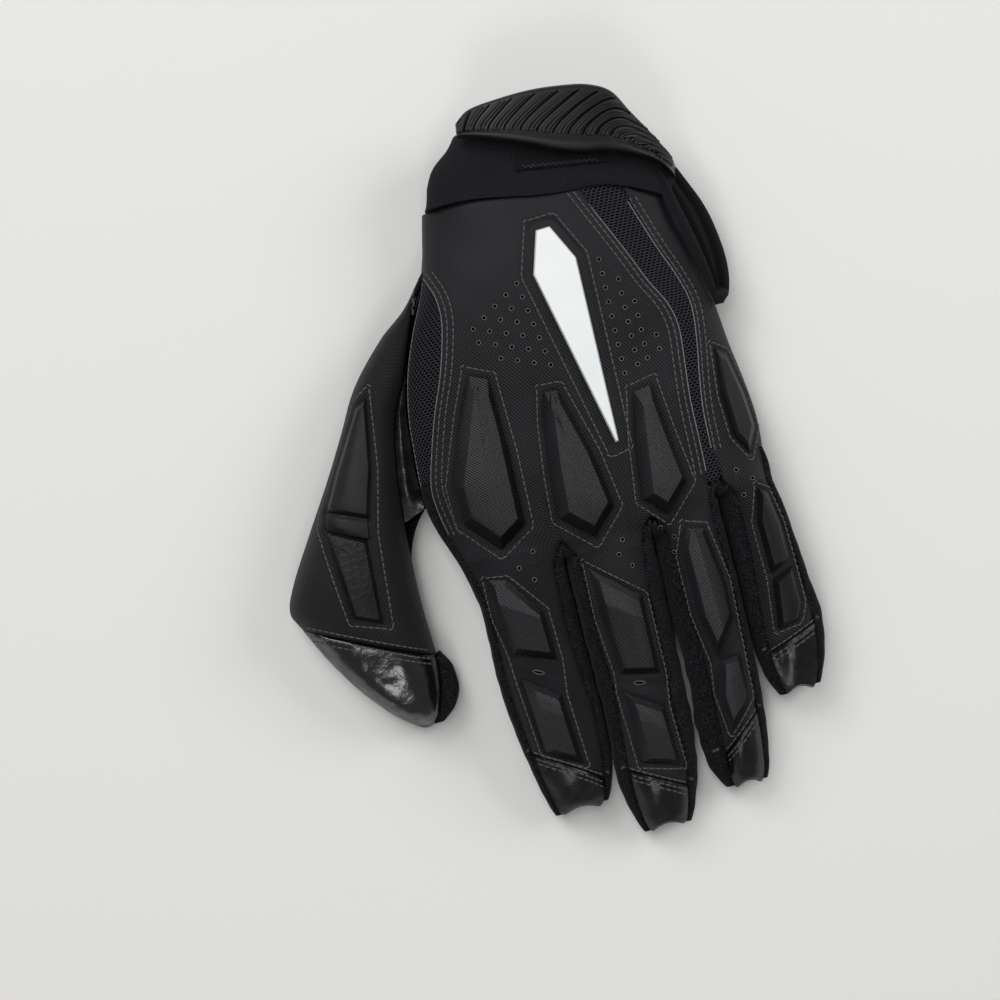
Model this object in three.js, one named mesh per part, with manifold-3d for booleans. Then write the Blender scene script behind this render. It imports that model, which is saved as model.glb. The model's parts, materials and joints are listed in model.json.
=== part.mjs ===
// A padded football glove for a lineman's left hand, youth size, lying palm down with its thumb out.
// Millimetres, +Z up. +Y runs to the wrist, the fingertips point to -Y and the little finger is on +X.
// The origin is on the resting surface, under the middle of the palm.

import * as THREE from "three";
import { mergeVertices } from "three/addons/utils/BufferGeometryUtils.js";
import Module from "manifold-3d";

const wasm = await Module();
wasm.setup();

// Driving dimensions
const GAP = 0.3; // between neighbouring pieces
const LEATHER = 1.6; // wall of the coated palm
const TEXTILE = 2.0; // wall of the foam-backed back panels
const STRETCH = 1.2; // wall of the stretch strips between the fingers
const MESH = 1.2; // wall of the open mesh gussets
const CUFF_WALL = 2.4; // wall of the neoprene cuff
const STRAP_WALL = 2.6; // wall of the moulded wrist strap
const PAD_HEIGHT = 2.8; // how far a moulded pad stands above its panel
const EDGE_Z = 9.2; // height of a back panel where it meets the palm at the hand's side
const PALM_RISE = 5.3; // how far the palm's edge turns up
const FINGER_DROP = 3.6; // how far a finger's back falls from its ridge to its seams, at most
const PATCH = 1.0; // thickness of the loop patch under the strap
const PALM_TURN = 8; // width of the palm's turned-up edge
const BLEND = 4; // softness of the valley where two surfaces meet

const BLACK_TEXTILE = { color: 0x242527, roughness: 0.62, metalness: 0 };
const BLACK_LEATHER = { color: 0x141416, roughness: 0.22, metalness: 0 };
const TIP_LEATHER = { color: 0x1a1a1c, roughness: 0.4, metalness: 0 };
const BLACK_STRETCH = { color: 0x101012, roughness: 0.9, metalness: 0 };
const BLACK_MESH = { color: 0x18191b, roughness: 0.8, metalness: 0 };
const BLACK_RUBBER = { color: 0x1d1d1f, roughness: 0.55, metalness: 0 };
const WHITE_PRINT = { color: 0xe4e8e8, roughness: 0.35, metalness: 0 };

// Outline of the hand where its back and its palm meet, with the height of the back's ridge and of its left edge
const HAND = [
  { y: 66, left: -34.0, right: 38.0, ridge: 25.0, leftEdge: 9.2 },
  { y: 54, left: -37.0, right: 40.0, ridge: 26.0, leftEdge: 10.0 },
  { y: 44, left: -39.6, right: 40.6, ridge: 26.8, leftEdge: 12.0 },
  { y: 30, left: -46.0, right: 42.0, ridge: 27.6, leftEdge: 14.5 },
  { y: 19, left: -50.0, right: 43.2, ridge: 28.2, leftEdge: 15.0 },
  { y: 8, left: -52.4, right: 44.2, ridge: 28.6, leftEdge: 15.0 },
  { y: -3, left: -53.4, right: 45.8, ridge: 28.9, leftEdge: 15.0 },
  { y: -14, left: -53.9, right: 47.0, ridge: 29.0, leftEdge: 14.0 },
  { y: -22, left: -53.2, right: 46.9, ridge: 28.6, leftEdge: 11.0 },
  { y: -30, left: -51.0, right: 46.0, ridge: 27.4, leftEdge: 9.6 },
  { y: -38, left: -48.0, right: 46.4, ridge: 24.6, leftEdge: 9.2 },
  { y: -45, left: -46.4, right: 47.8, ridge: 19.5, leftEdge: 9.2 },
  { y: -54, left: -45.2, right: 48.8, ridge: 11.0, leftEdge: 9.2 },
];

// Each finger: its two back seams, the outermost reach of its side walls, its ridge height and its underside
const FINGERS = {
  index: [
    { y: -42, seamLeft: -44.6, seamRight: -21.9, wallLeft: -46.9, wallRight: -18.45, ridge: 25.4, under: 0.2 },
    { y: -52, seamLeft: -43.0, seamRight: -22.3, wallLeft: -45.2, wallRight: -18.45, ridge: 24.2, under: 0.8 },
    { y: -62, seamLeft: -42.9, seamRight: -22.5, wallLeft: -45.3, wallRight: -18.45, ridge: 22.8, under: 1.2 },
    { y: -74, seamLeft: -43.0, seamRight: -21.8, wallLeft: -45.5, wallRight: -18.4, ridge: 21.4, under: 1.4 },
    { y: -86, seamLeft: -42.2, seamRight: -20.9, wallLeft: -44.6, wallRight: -18.2, ridge: 19.8, under: 1.0 },
    { y: -96, seamLeft: -41.0, seamRight: -21.0, wallLeft: -43.2, wallRight: -18.3, ridge: 18.0, under: 0.5 },
    { y: -106, seamLeft: -39.3, seamRight: -22.0, wallLeft: -41.4, wallRight: -19.3, ridge: 15.4, under: 0.4 },
    { y: -113, seamLeft: -37.9, seamRight: -23.6, wallLeft: -39.8, wallRight: -21.6, ridge: 11.4, under: 0.7 },
    { y: -117, seamLeft: -36.8, seamRight: -25.2, wallLeft: -38.4, wallRight: -23.6, ridge: 7.4, under: 0.9 },
  ],
  middle: [
    { y: -44, seamLeft: -13.9, seamRight: 4.7, wallLeft: -17.75, wallRight: 8.1, ridge: 26.0, under: 0.2 },
    { y: -56, seamLeft: -14.0, seamRight: 3.3, wallLeft: -17.75, wallRight: 8.0, ridge: 24.6, under: 0.9 },
    { y: -70, seamLeft: -14.0, seamRight: 2.6, wallLeft: -17.75, wallRight: 7.5, ridge: 23.0, under: 1.4 },
    { y: -83, seamLeft: -13.2, seamRight: 2.1, wallLeft: -17.6, wallRight: 7.0, ridge: 21.4, under: 1.4 },
    { y: -95, seamLeft: -13.8, seamRight: 1.9, wallLeft: -17.6, wallRight: 6.8, ridge: 19.8, under: 1.0 },
    { y: -106, seamLeft: -14.6, seamRight: 2.0, wallLeft: -18.3, wallRight: 5.8, ridge: 17.8, under: 0.5 },
    { y: -115, seamLeft: -14.4, seamRight: 1.0, wallLeft: -17.9, wallRight: 4.2, ridge: 15.0, under: 0.4 },
    { y: -123, seamLeft: -13.6, seamRight: -0.7, wallLeft: -15.9, wallRight: 1.7, ridge: 11.0, under: 0.7 },
    { y: -128, seamLeft: -12.4, seamRight: -2.2, wallLeft: -14.0, wallRight: -0.6, ridge: 7.4, under: 0.9 },
  ],
  ring: [
    { y: -43, seamLeft: 12.8, seamRight: 26.2, wallLeft: 8.7, wallRight: 29.15, ridge: 25.2, under: 0.2 },
    { y: -54, seamLeft: 13.3, seamRight: 26.8, wallLeft: 8.6, wallRight: 29.2, ridge: 24.0, under: 0.9 },
    { y: -66, seamLeft: 13.6, seamRight: 26.8, wallLeft: 8.2, wallRight: 29.2, ridge: 22.6, under: 1.3 },
    { y: -78, seamLeft: 14.4, seamRight: 26.5, wallLeft: 9.0, wallRight: 29.0, ridge: 21.2, under: 1.4 },
    { y: -90, seamLeft: 14.5, seamRight: 26.0, wallLeft: 8.8, wallRight: 28.6, ridge: 19.6, under: 1.0 },
    { y: -101, seamLeft: 14.3, seamRight: 25.4, wallLeft: 7.9, wallRight: 28.0, ridge: 17.6, under: 0.5 },
    { y: -110, seamLeft: 14.2, seamRight: 24.8, wallLeft: 8.4, wallRight: 27.0, ridge: 14.8, under: 0.4 },
    { y: -117, seamLeft: 14.3, seamRight: 24.0, wallLeft: 10.4, wallRight: 25.8, ridge: 11.0, under: 0.7 },
    { y: -121.5, seamLeft: 15.0, seamRight: 22.6, wallLeft: 13.2, wallRight: 24.2, ridge: 7.4, under: 0.9 },
  ],
  little: [
    { y: -34, seamLeft: 34.6, seamRight: 44.2, wallLeft: 29.8, wallRight: 46.1, ridge: 22.4, under: 0.2 },
    { y: -43, seamLeft: 35.1, seamRight: 45.6, wallLeft: 29.85, wallRight: 47.6, ridge: 21.8, under: 0.8 },
    { y: -54, seamLeft: 35.2, seamRight: 46.6, wallLeft: 29.85, wallRight: 48.8, ridge: 20.8, under: 1.2 },
    { y: -66, seamLeft: 34.5, seamRight: 47.4, wallLeft: 29.8, wallRight: 50.0, ridge: 19.4, under: 1.3 },
    { y: -76, seamLeft: 34.0, seamRight: 48.0, wallLeft: 29.9, wallRight: 51.2, ridge: 17.6, under: 0.8 },
    { y: -85, seamLeft: 34.1, seamRight: 47.2, wallLeft: 30.4, wallRight: 50.2, ridge: 15.0, under: 0.4 },
    { y: -93, seamLeft: 34.9, seamRight: 45.5, wallLeft: 32.0, wallRight: 47.9, ridge: 10.6, under: 0.7 },
    { y: -98, seamLeft: 36.0, seamRight: 43.9, wallLeft: 34.4, wallRight: 45.5, ridge: 7.2, under: 0.9 },
  ],
};

// Where each finger leaves the hand, and the slanting line where its fingertip cap begins
const ROOTS = {
  index: { left: -46.0, leftY: -38, right: -19.4, rightY: -39, capLeft: -96.5, capRight: -108.5, columns: 5 },
  middle: { left: -16.6, leftY: -39, right: 6.2, rightY: -39, capLeft: -108, capRight: -116.5, columns: 5 },
  ring: { left: 10.4, leftY: -38, right: 27.0, rightY: -32, capLeft: -110, capRight: -100, columns: 4 },
  little: { left: 31.4, leftY: -31, right: 44.8, rightY: -30, capLeft: -84.5, capRight: -79, columns: 4 },
};

// Left and right edges of the main back panel, from the cuff to the knuckles
const BACK_EDGES = [
  { left: -33.4, leftY: 63.4, right: 11.6, rightY: 58.4 },
  { left: -36.4, leftY: 54, right: 14.4, rightY: 52 },
  { left: -38.2, leftY: 47, right: 17.6, rightY: 45 },
  { left: -36.4, leftY: 40, right: 21.2, rightY: 37 },
  { left: -36.2, leftY: 33, right: 24.6, rightY: 29 },
  { left: -38.0, leftY: 25, right: 28.6, rightY: 21.4 },
  { left: -40.9, leftY: 16, right: 30.0, rightY: 14 },
  { left: -44.6, leftY: 7, right: 29.1, rightY: 4 },
  { left: -48.0, leftY: -3, right: 28.0, rightY: -7 },
  { left: -50.8, leftY: -13, right: 27.7, rightY: -18 },
  { left: -50.8, leftY: -20, right: 27.6, rightY: -23 },
  { left: -49.4, leftY: -28, right: 27.4, rightY: -28 },
];

// Left edge of the outer back panel, which the narrow mesh gusset reaches
const OUTER_EDGE = [
  { y: 55.6, x: 23.2 },
  { y: 49, x: 25.4 },
  { y: 38, x: 29.2 },
  { y: 28, x: 33.2 },
  { y: 20, x: 35.0 },
  { y: 9, x: 33.9 },
  { y: 0, x: 32.2 },
  { y: -11, x: 30.6 },
  { y: -22, x: 30.2 },
];

// Sections of the thumb, from its root at the wrist to its tip: the outer side, the side that faces the hand,
// the ridge height and the heights of the two sides
const THUMB = [
  { outX: -41.0, outY: 45.5, inX: -42.6, inY: 41.0, ridge: 13.4, outEdge: 10.8, inEdge: 12.6 },
  { outX: -46.6, outY: 39.0, inX: -47.4, inY: 29.5, ridge: 16.2, outEdge: 10.4, inEdge: 13.5 },
  { outX: -55.5, outY: 32.0, inX: -51.2, inY: 20.0, ridge: 18.5, outEdge: 9.4, inEdge: 13.5 },
  { outX: -66.0, outY: 20.5, inX: -56.0, inY: 10.5, ridge: 20.0, outEdge: 8.6, inEdge: 13.0 },
  { outX: -73.2, outY: 8.0, inX: -58.6, inY: 0.5, ridge: 21.2, outEdge: 8.2, inEdge: 12.4 },
  { outX: -80.4, outY: -4.2, inX: -60.2, inY: -9.5, ridge: 22.4, outEdge: 8.0, inEdge: 11.6 },
  { outX: -89.6, outY: -18.6, inX: -61.3, inY: -21.5, ridge: 23.4, outEdge: 7.8, inEdge: 9.6 },
  { outX: -97.2, outY: -31.0, inX: -62.0, inY: -34.0, ridge: 23.6, outEdge: 7.6, inEdge: 7.8 },
  { outX: -100.4, outY: -38.8, inX: -62.2, inY: -46.5, ridge: 22.6, outEdge: 7.6, inEdge: 7.6 },
  { outX: -98.2, outY: -44.6, inX: -61.6, inY: -61.4, ridge: 20.4, outEdge: 7.6, inEdge: 7.6 },
  { outX: -92.4, outY: -56.2, inX: -61.8, inY: -68.0, ridge: 18.6, outEdge: 7.6, inEdge: 7.6 },
  { outX: -85.4, outY: -67.0, inX: -63.0, inY: -73.6, ridge: 16.4, outEdge: 7.6, inEdge: 7.6 },
  { outX: -78.2, outY: -75.4, inX: -64.8, inY: -78.4, ridge: 13.0, outEdge: 7.4, inEdge: 7.4 },
  { outX: -72.4, outY: -80.4, inX: -67.2, inY: -81.2, ridge: 8.4, outEdge: 6.4, inEdge: 6.4 },
];
const THUMB_SEAM = 9; // the section where the thumb's back panel meets its tip
const THUMB_CROTCH = 6; // the section beside which the web ends

// How far the thumb tip's stretch strip stands out past the leather, section by section from the seam
const THUMB_STRIP = [
  { x: -60.6, y: -57.2 },
  { x: -57.6, y: -63.5 },
  { x: -57.3, y: -71.0 },
  { x: -59.6, y: -77.0 },
  { x: -63.4, y: -81.0 },
];

// The hand's side of the web, opposite the thumb's first sections
const WEB_HAND_SIDE = [
  { x: -40.2, y: 42.6 },
  { x: -45.6, y: 32.5 },
  { x: -49.2, y: 22.0 },
  { x: -52.4, y: 10.0 },
  { x: -53.5, y: -1.5 },
  { x: -54.1, y: -10.5 },
  { x: -54.2, y: -19.0 },
];

// Moulded pads: corners of the base, clockwise seen from above, and the slope's width along the side after it
const PADS = {
  knuckle_pad_index: { panel: "back", top: PAD_HEIGHT, corners: [
    { x: -32.4, y: 15.0, slope: 1.4 }, { x: -27.2, y: 12.6, slope: 1.3 }, { x: -26.5, y: -10.0, slope: 1.8 },
    { x: -27.0, y: -30.4, slope: 2.8 }, { x: -35.5, y: -35.8, slope: 3.2 }, { x: -44.4, y: -26.0, slope: 3.0 },
    { x: -44.4, y: -15.0, slope: 3.0 }, { x: -38.0, y: 2.0, slope: 2.4 } ] },
  knuckle_pad_middle: { panel: "back", top: PAD_HEIGHT, corners: [
    { x: -12.4, y: 5.0, slope: 1.2 }, { x: -8.8, y: 4.8, slope: 1.3 }, { x: -3.4, y: -15.0, slope: 1.4 },
    { x: -0.9, y: -31.3, slope: 2.2 }, { x: -8.2, y: -39.0, slope: 3.0 }, { x: -16.9, y: -31.0, slope: 3.0 },
    { x: -16.2, y: -19.0, slope: 2.8 }, { x: -14.4, y: -4.0, slope: 2.0 } ] },
  knuckle_pad_ring: { panel: "back", top: PAD_HEIGHT, corners: [
    { x: 12.6, y: -1.0, slope: 1.2 }, { x: 17.6, y: 0.0, slope: 1.2 }, { x: 19.0, y: -14.0, slope: 1.2 },
    { x: 21.2, y: -29.5, slope: 2.0 }, { x: 13.6, y: -37.4, slope: 3.0 }, { x: 7.8, y: -31.5, slope: 3.0 },
    { x: 9.8, y: -14.5, slope: 2.6 } ] },
  knuckle_pad_outer: { panel: "outer", top: 2.2, corners: [
    { x: 38.9, y: 6.0, slope: 1.2 }, { x: 41.4, y: 4.0, slope: 1.2 }, { x: 43.8, y: -9.0, slope: 1.2 },
    { x: 44.6, y: -19.0, slope: 1.4 }, { x: 41.0, y: -26.0, slope: 1.6 }, { x: 38.0, y: -20.0, slope: 1.6 },
    { x: 37.4, y: -8.0, slope: 1.6 } ] },
  index_pad_near: { panel: "back", top: 2.4, corners: [
    { x: -41.4, y: -43.4, slope: 1.6 }, { x: -36.2, y: -44.6, slope: 1.6 }, { x: -27.9, y: -56.0, slope: 1.4 },
    { x: -27.4, y: -70.6, slope: 2.0 }, { x: -39.4, y: -66.0, slope: 1.8 }, { x: -41.4, y: -55.0, slope: 1.6 } ] },
  index_pad_far: { panel: "back", top: 2.2, corners: [
    { x: -38.8, y: -73.4, slope: 1.6 }, { x: -28.6, y: -81.0, slope: 1.4 }, { x: -27.2, y: -102.0, slope: 1.8 },
    { x: -37.0, y: -96.4, slope: 1.8 } ] },
  middle_pad_near: { panel: "back", top: 2.4, corners: [
    { x: -12.4, y: -47.0, slope: 1.8 }, { x: 1.0, y: -58.6, slope: 1.4 }, { x: 0.8, y: -81.6, slope: 1.8 },
    { x: -10.8, y: -79.0, slope: 1.8 }, { x: -12.4, y: -62.0, slope: 2.4 } ] },
  middle_pad_far: { panel: "back", top: 2.2, corners: [
    { x: -11.4, y: -84.4, slope: 1.6 }, { x: -0.4, y: -91.6, slope: 1.2 }, { x: 0.4, y: -109.4, slope: 1.8 },
    { x: -10.4, y: -106.0, slope: 1.8 } ] },
  ring_pad_near: { panel: "back", top: 2.4, corners: [
    { x: 17.6, y: -42.0, slope: 1.4 }, { x: 23.0, y: -44.0, slope: 1.3 }, { x: 25.4, y: -60.0, slope: 1.2 },
    { x: 25.2, y: -71.0, slope: 1.8 }, { x: 17.8, y: -81.0, slope: 2.0 }, { x: 15.0, y: -68.0, slope: 2.2 },
    { x: 14.8, y: -50.0, slope: 1.6 } ] },
  ring_pad_far: { panel: "back", top: 2.2, corners: [
    { x: 18.4, y: -82.6, slope: 1.2 }, { x: 24.6, y: -82.0, slope: 1.2 }, { x: 24.4, y: -94.4, slope: 1.4 },
    { x: 17.0, y: -103.4, slope: 1.4 }, { x: 16.0, y: -92.0, slope: 1.6 } ] },
  little_pad_near: { panel: "outer", top: 2.0, corners: [
    { x: 41.0, y: -36.4, slope: 1.2 }, { x: 43.6, y: -38.4, slope: 1.2 }, { x: 45.2, y: -48.0, slope: 1.2 },
    { x: 45.4, y: -58.6, slope: 1.4 }, { x: 38.9, y: -61.4, slope: 1.4 }, { x: 38.4, y: -46.0, slope: 1.4 } ] },
  little_pad_far: { panel: "outer", top: 1.8, corners: [
    { x: 39.0, y: -63.6, slope: 1.2 }, { x: 45.4, y: -61.0, slope: 1.2 }, { x: 45.8, y: -72.0, slope: 1.2 },
    { x: 43.6, y: -76.6, slope: 1.4 }, { x: 37.4, y: -78.0, slope: 1.4 } ] },
  thumb_pad_near: { panel: "thumb", top: 2.0, corners: [
    { x: -67.6, y: 10.6, slope: 1.4 }, { x: -63.6, y: 12.4, slope: 1.2 }, { x: -67.4, y: -4.0, slope: 1.2 },
    { x: -71.6, y: -19.0, slope: 1.4 }, { x: -83.4, y: -13.6, slope: 1.4 }, { x: -76.4, y: -2.0, slope: 1.4 } ] },
  thumb_pad_far: { panel: "thumb", top: 1.8, corners: [
    { x: -83.6, y: -17.8, slope: 1.2 }, { x: -72.2, y: -23.6, slope: 1.2 }, { x: -73.6, y: -48.6, slope: 1.4 },
    { x: -81.6, y: -45.0, slope: 1.4 } ] },
  emblem: { panel: "back", top: 0.9, corners: [
    { x: -3.6, y: 51.0, slope: 0.4 }, { x: 0.6, y: 51.2, slope: 0.4 }, { x: 5.8, y: 40.6, slope: 0.4 },
    { x: 4.9, y: -13.6, slope: 0.4 }, { x: 3.9, y: -13.8, slope: 0.4 }, { x: -7.4, y: 38.6, slope: 0.4 } ] },
};

// The seam between the cuff and the hand
const CUFF_SEAM = [
  { x: -34, y: 65.2 },
  { x: -20, y: 64.6 },
  { x: -10, y: 62.8 },
  { x: 0, y: 60.8 },
  { x: 10, y: 60.2 },
  { x: 17, y: 60.6 },
  { x: 24, y: 58.4 },
  { x: 32, y: 54.2 },
  { x: 39, y: 51.0 },
];

// The cuff's sections from the hand to its open end, each from its left side to its right side
const CUFF = [
  { leftX: -33.8, leftY: 65.2, rightX: 38.6, rightY: 51.2, top: 25.2 },
  { leftX: -31.2, leftY: 71.4, rightX: 40.2, rightY: 56.4, top: 25.4 },
  { leftX: -28.2, leftY: 76.6, rightX: 40.6, rightY: 60.6, top: 25.6 },
  { leftX: -22.8, leftY: 81.0, rightX: 39.4, rightY: 65.4, top: 25.4 },
  { leftX: -19.6, leftY: 85.0, rightX: 37.0, rightY: 70.8, top: 24.8 },
];

// The strap's two long edges, from its free end on the left to where it turns down the outer side
const STRAP = [
  { lowX: -19.2, lowY: 82.6, highX: -18.6, highY: 86.6, rise: 0.0 },
  { lowX: -14.4, lowY: 81.0, highX: -14.0, highY: 89.4, rise: 0.4 },
  { lowX: -7.4, lowY: 78.2, highX: -5.0, highY: 90.2, rise: 0.9 },
  { lowX: 0.2, lowY: 75.0, highX: 4.4, highY: 90.3, rise: 1.3 },
  { lowX: 7.6, lowY: 71.6, highX: 13.4, highY: 89.4, rise: 1.5 },
  { lowX: 14.6, lowY: 69.2, highX: 21.0, highY: 87.8, rise: 1.5 },
  { lowX: 22.0, lowY: 67.8, highX: 27.0, highY: 84.4, rise: 1.2 },
  { lowX: 29.2, lowY: 65.0, highX: 31.2, highY: 77.4, rise: 0.7 },
  { lowX: 35.4, lowY: 61.6, highX: 36.6, highY: 68.8, rise: 0.2 },
  { lowX: 40.2, lowY: 56.4, highX: 41.2, highY: 60.6, rise: -0.4 },
];

// The padded side tab, which lies over the outer side of the wrist: its upper edge, its outer reach and its lower edge
const SIDE_TAB = [
  { y: 50.6, left: 35.4, right: 43.2, low: 12.6 },
  { y: 48.4, left: 35.2, right: 45.0, low: 10.8 },
  { y: 44.0, left: 36.2, right: 46.4, low: 9.6 },
  { y: 37.0, left: 38.2, right: 47.6, low: 9.0 },
  { y: 30.0, left: 40.2, right: 48.0, low: 9.2 },
  { y: 24.0, left: 41.6, right: 47.2, low: 10.4 },
  { y: 18.4, left: 42.8, right: 45.2, low: 12.6 },
];
const TAB_THICKNESS = 2.2;

// Reads one column of a table as a smooth curve over another column.
function columnCurve(table, key, column) {
  const rows = [...table].sort((a, b) => a[key] - b[key]);
  const last = rows.length - 1;
  const slope = (i) => {
    const before = rows[Math.max(i - 1, 0)];
    const after = rows[Math.min(i + 1, last)];
    return (after[column] - before[column]) / (after[key] - before[key]);
  };
  return (at) => {
    if (at <= rows[0][key]) return rows[0][column];
    if (at >= rows[last][key]) return rows[last][column];
    const i = rows.findIndex((row) => row[key] > at) - 1;
    const step = rows[i + 1][key] - rows[i][key];
    const t = (at - rows[i][key]) / step;
    const s = 1 - t;
    return (
      rows[i][column] * (1 + 2 * t) * s * s +
      rows[i + 1][column] * (3 - 2 * t) * t * t +
      step * t * s * (s * slope(i) - t * slope(i + 1))
    );
  };
}

const mix = (a, b, t) => a + (b - a) * t;
const share = (i, count) => i / count;

function smoothMax(a, b) {
  const near = Math.max(BLEND - Math.abs(a - b), 0) / BLEND;
  return Math.max(a, b) + (near * near * BLEND) / 4;
}

const hand = Object.fromEntries(
  ["left", "right", "ridge", "leftEdge"].map((column) => [column, columnCurve(HAND, "y", column)]),
);
const outerEdge = columnCurve(OUTER_EDGE, "y", "x");
const cuffSeam = columnCurve(CUFF_SEAM, "x", "y");

const fingers = Object.fromEntries(
  Object.entries(FINGERS).map(([name, rows]) => {
    const columns = ["seamLeft", "seamRight", "wallLeft", "wallRight", "ridge", "under"];
    const curves = Object.fromEntries(columns.map((column) => [column, columnCurve(rows, "y", column)]));
    return [name, { ...curves, base: rows[0].y, tip: rows[rows.length - 1].y, rows }];
  }),
);

// How far a point is across a span, from -1 at its left side to 1 at its right side.
function acrossSpan(x, left, right) {
  return THREE.MathUtils.clamp((2 * x - left - right) / (right - left), -1, 1);
}

function dome(across, edge, ridge) {
  return edge + (ridge - edge) * Math.pow(1 - Math.pow(Math.abs(across), 2.6), 0.55);
}

function handHeight(x, y) {
  const across = acrossSpan(x, hand.left(y), hand.right(y));
  const pastKnuckles = Math.max(-42 - y, 0);
  return dome(across, across < 0 ? hand.leftEdge(y) : EDGE_Z, hand.ridge(y)) - pastKnuckles;
}

function fingerHeight(finger, x, y) {
  const left = finger.seamLeft(y);
  const right = finger.seamRight(y);
  const across = Math.min(Math.abs((2 * x - left - right) / (right - left)), 1.5);
  const rootFall = Math.max(y - finger.base, 0) * 0.6;
  const drop = Math.min(FINGER_DROP, finger.ridge(y) / 4);
  return finger.ridge(y) - drop * Math.pow(across, 2.3) - rootFall;
}

// Height of the outside of the glove's back.
function backHeight(x, y) {
  const heights = Object.values(fingers).map((finger) => fingerHeight(finger, x, y));
  return heights.reduce(smoothMax, handHeight(x, y));
}

// Height of the outside of the palm under the hand, which lies flat and turns up at both sides.
function palmHeight(x, y) {
  const inside = Math.min(x - hand.left(y), hand.right(y) - x);
  const turn = THREE.MathUtils.clamp(1 - inside / PALM_TURN, 0, 1);
  return PALM_RISE * turn * turn;
}

function underFinger(finger, x, y) {
  const across = Math.abs(acrossSpan(x, finger.seamLeft(y), finger.seamRight(y)));
  const rise = Math.min(2.4, finger.ridge(y) / 9);
  return finger.under(y) + rise * across * across * across;
}

// A closed wall between two grids of points, without the cells that keep turns down.
function wall(outer, inner, keep = () => true) {
  const columns = outer[0].length;
  const count = outer.length * columns;
  const points = [...outer.flat(), ...inner.flat()];
  const faces = [];
  const edges = new Set();
  for (let i = 0; i + 1 < outer.length; i += 1) {
    for (let j = 0; j + 1 < columns; j += 1) {
      if (!keep(i, j)) continue;
      const corners = [i * columns + j, (i + 1) * columns + j, (i + 1) * columns + j + 1, i * columns + j + 1];
      const [a, b, c, d] = corners;
      faces.push([a, b, c], [a, c, d], [c + count, b + count, a + count], [d + count, c + count, a + count]);
      corners.forEach((corner, k) => edges.add(`${corner},${corners[(k + 1) % 4]}`));
    }
  }
  for (const edge of edges) {
    const [from, to] = edge.split(",").map(Number);
    if (edges.has(`${to},${from}`)) continue;
    faces.push([to, from, from + count], [to, from + count, to + count]);
  }
  return solidGeometry(points, faces);
}

// A geometry from points and triangles, turned so that its faces point out.
function solidGeometry(points, faces) {
  const volume = faces.reduce((sum, face) => {
    const [a, b, c] = face.map((k) => new THREE.Vector3(...points[k]));
    return sum + a.dot(b.cross(c));
  }, 0);
  const order = volume < 0 ? faces.map(([a, b, c]) => [a, c, b]) : faces;
  const geometry = new THREE.BufferGeometry();
  geometry.setAttribute("position", new THREE.Float32BufferAttribute(points.flat(), 3));
  geometry.setIndex(order.flat());
  return geometry;
}

function toSolid(geometry) {
  const bare = geometry.clone();
  bare.deleteAttribute("normal");
  bare.deleteAttribute("uv");
  const merged = mergeVertices(bare, 1e-3);
  return new wasm.Manifold(
    new wasm.Mesh({
      numProp: 3,
      vertProperties: new Float32Array(merged.attributes.position.array),
      triVerts: new Uint32Array(merged.index.array),
    }),
  );
}

function fromSolid(solid) {
  const mesh = solid.getMesh();
  const geometry = new THREE.BufferGeometry();
  geometry.setAttribute("position", new THREE.BufferAttribute(mesh.vertProperties, 3));
  geometry.setIndex(new THREE.BufferAttribute(mesh.triVerts, 1));
  return geometry;
}

const glove = new THREE.Group();

function add(name, geometry, finish) {
  const shaded = geometry.toNonIndexed();
  shaded.computeVertexNormals();
  const mesh = new THREE.Mesh(shaded, new THREE.MeshStandardMaterial(finish));
  mesh.name = name;
  glove.add(mesh);
}

const lifted = (grid, by) => grid.map((row) => row.map(([x, y, z]) => [x, y, z + by]));

// The x and y of a grid over part of the hand and some of its fingers, and the cells that are webs between fingers.
function handGrid(edges, names, rowsPerFinger, endY) {
  const roots = names.map((name) => ROOTS[name]);
  const stops = roots.flatMap((root, k) =>
    Array.from({ length: root.columns + 1 }, (_, j) => ({
      finger: k,
      across: share(j, root.columns),
      x: mix(root.left, root.right, share(j, root.columns)),
      y: mix(root.leftY, root.rightY, share(j, root.columns)),
    })),
  );
  const first = stops[0].x;
  const width = stops[stops.length - 1].x - first;
  const rows = edges.map((edge, i) =>
    stops.map((stop) => {
      const t = (stop.x - first) / width;
      const x = mix(edge.left, edge.right, t);
      return [x, i === 0 ? cuffSeam(x) - 0.9 : mix(edge.leftY, edge.rightY, t)];
    }),
  );
  rows.push(stops.map((stop) => [stop.x, stop.y]));
  for (let i = 1; i <= rowsPerFinger; i += 1) {
    rows.push(
      stops.map((stop) => {
        const name = names[stop.finger];
        const y = mix(stop.y, endY(name, stop.across), share(i, rowsPerFinger));
        return [mix(fingerEdge(name, "Left", y), fingerEdge(name, "Right", y), stop.across), y];
      }),
    );
  }
  const webs = new Set();
  stops.forEach((stop, j) => {
    if (j + 1 < stops.length && stops[j + 1].finger !== stop.finger) webs.add(j);
  });
  return { rows, stops, keep: (i, j) => i < edges.length || !webs.has(j) };
}

const rootY = (name, side) => ROOTS[name][`${side.toLowerCase()}Y`];

// Where the back and the palm of a finger end, left or right, from its root to its tip.
function fingerEdge(name, side, y) {
  const settle = THREE.MathUtils.smoothstep(rootY(name, side) - y, 0, 6);
  return mix(ROOTS[name][side.toLowerCase()], fingers[name][`seam${side}`](y), settle);
}

const capLine = (name, across) => mix(ROOTS[name].capLeft, ROOTS[name].capRight, across);

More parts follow.
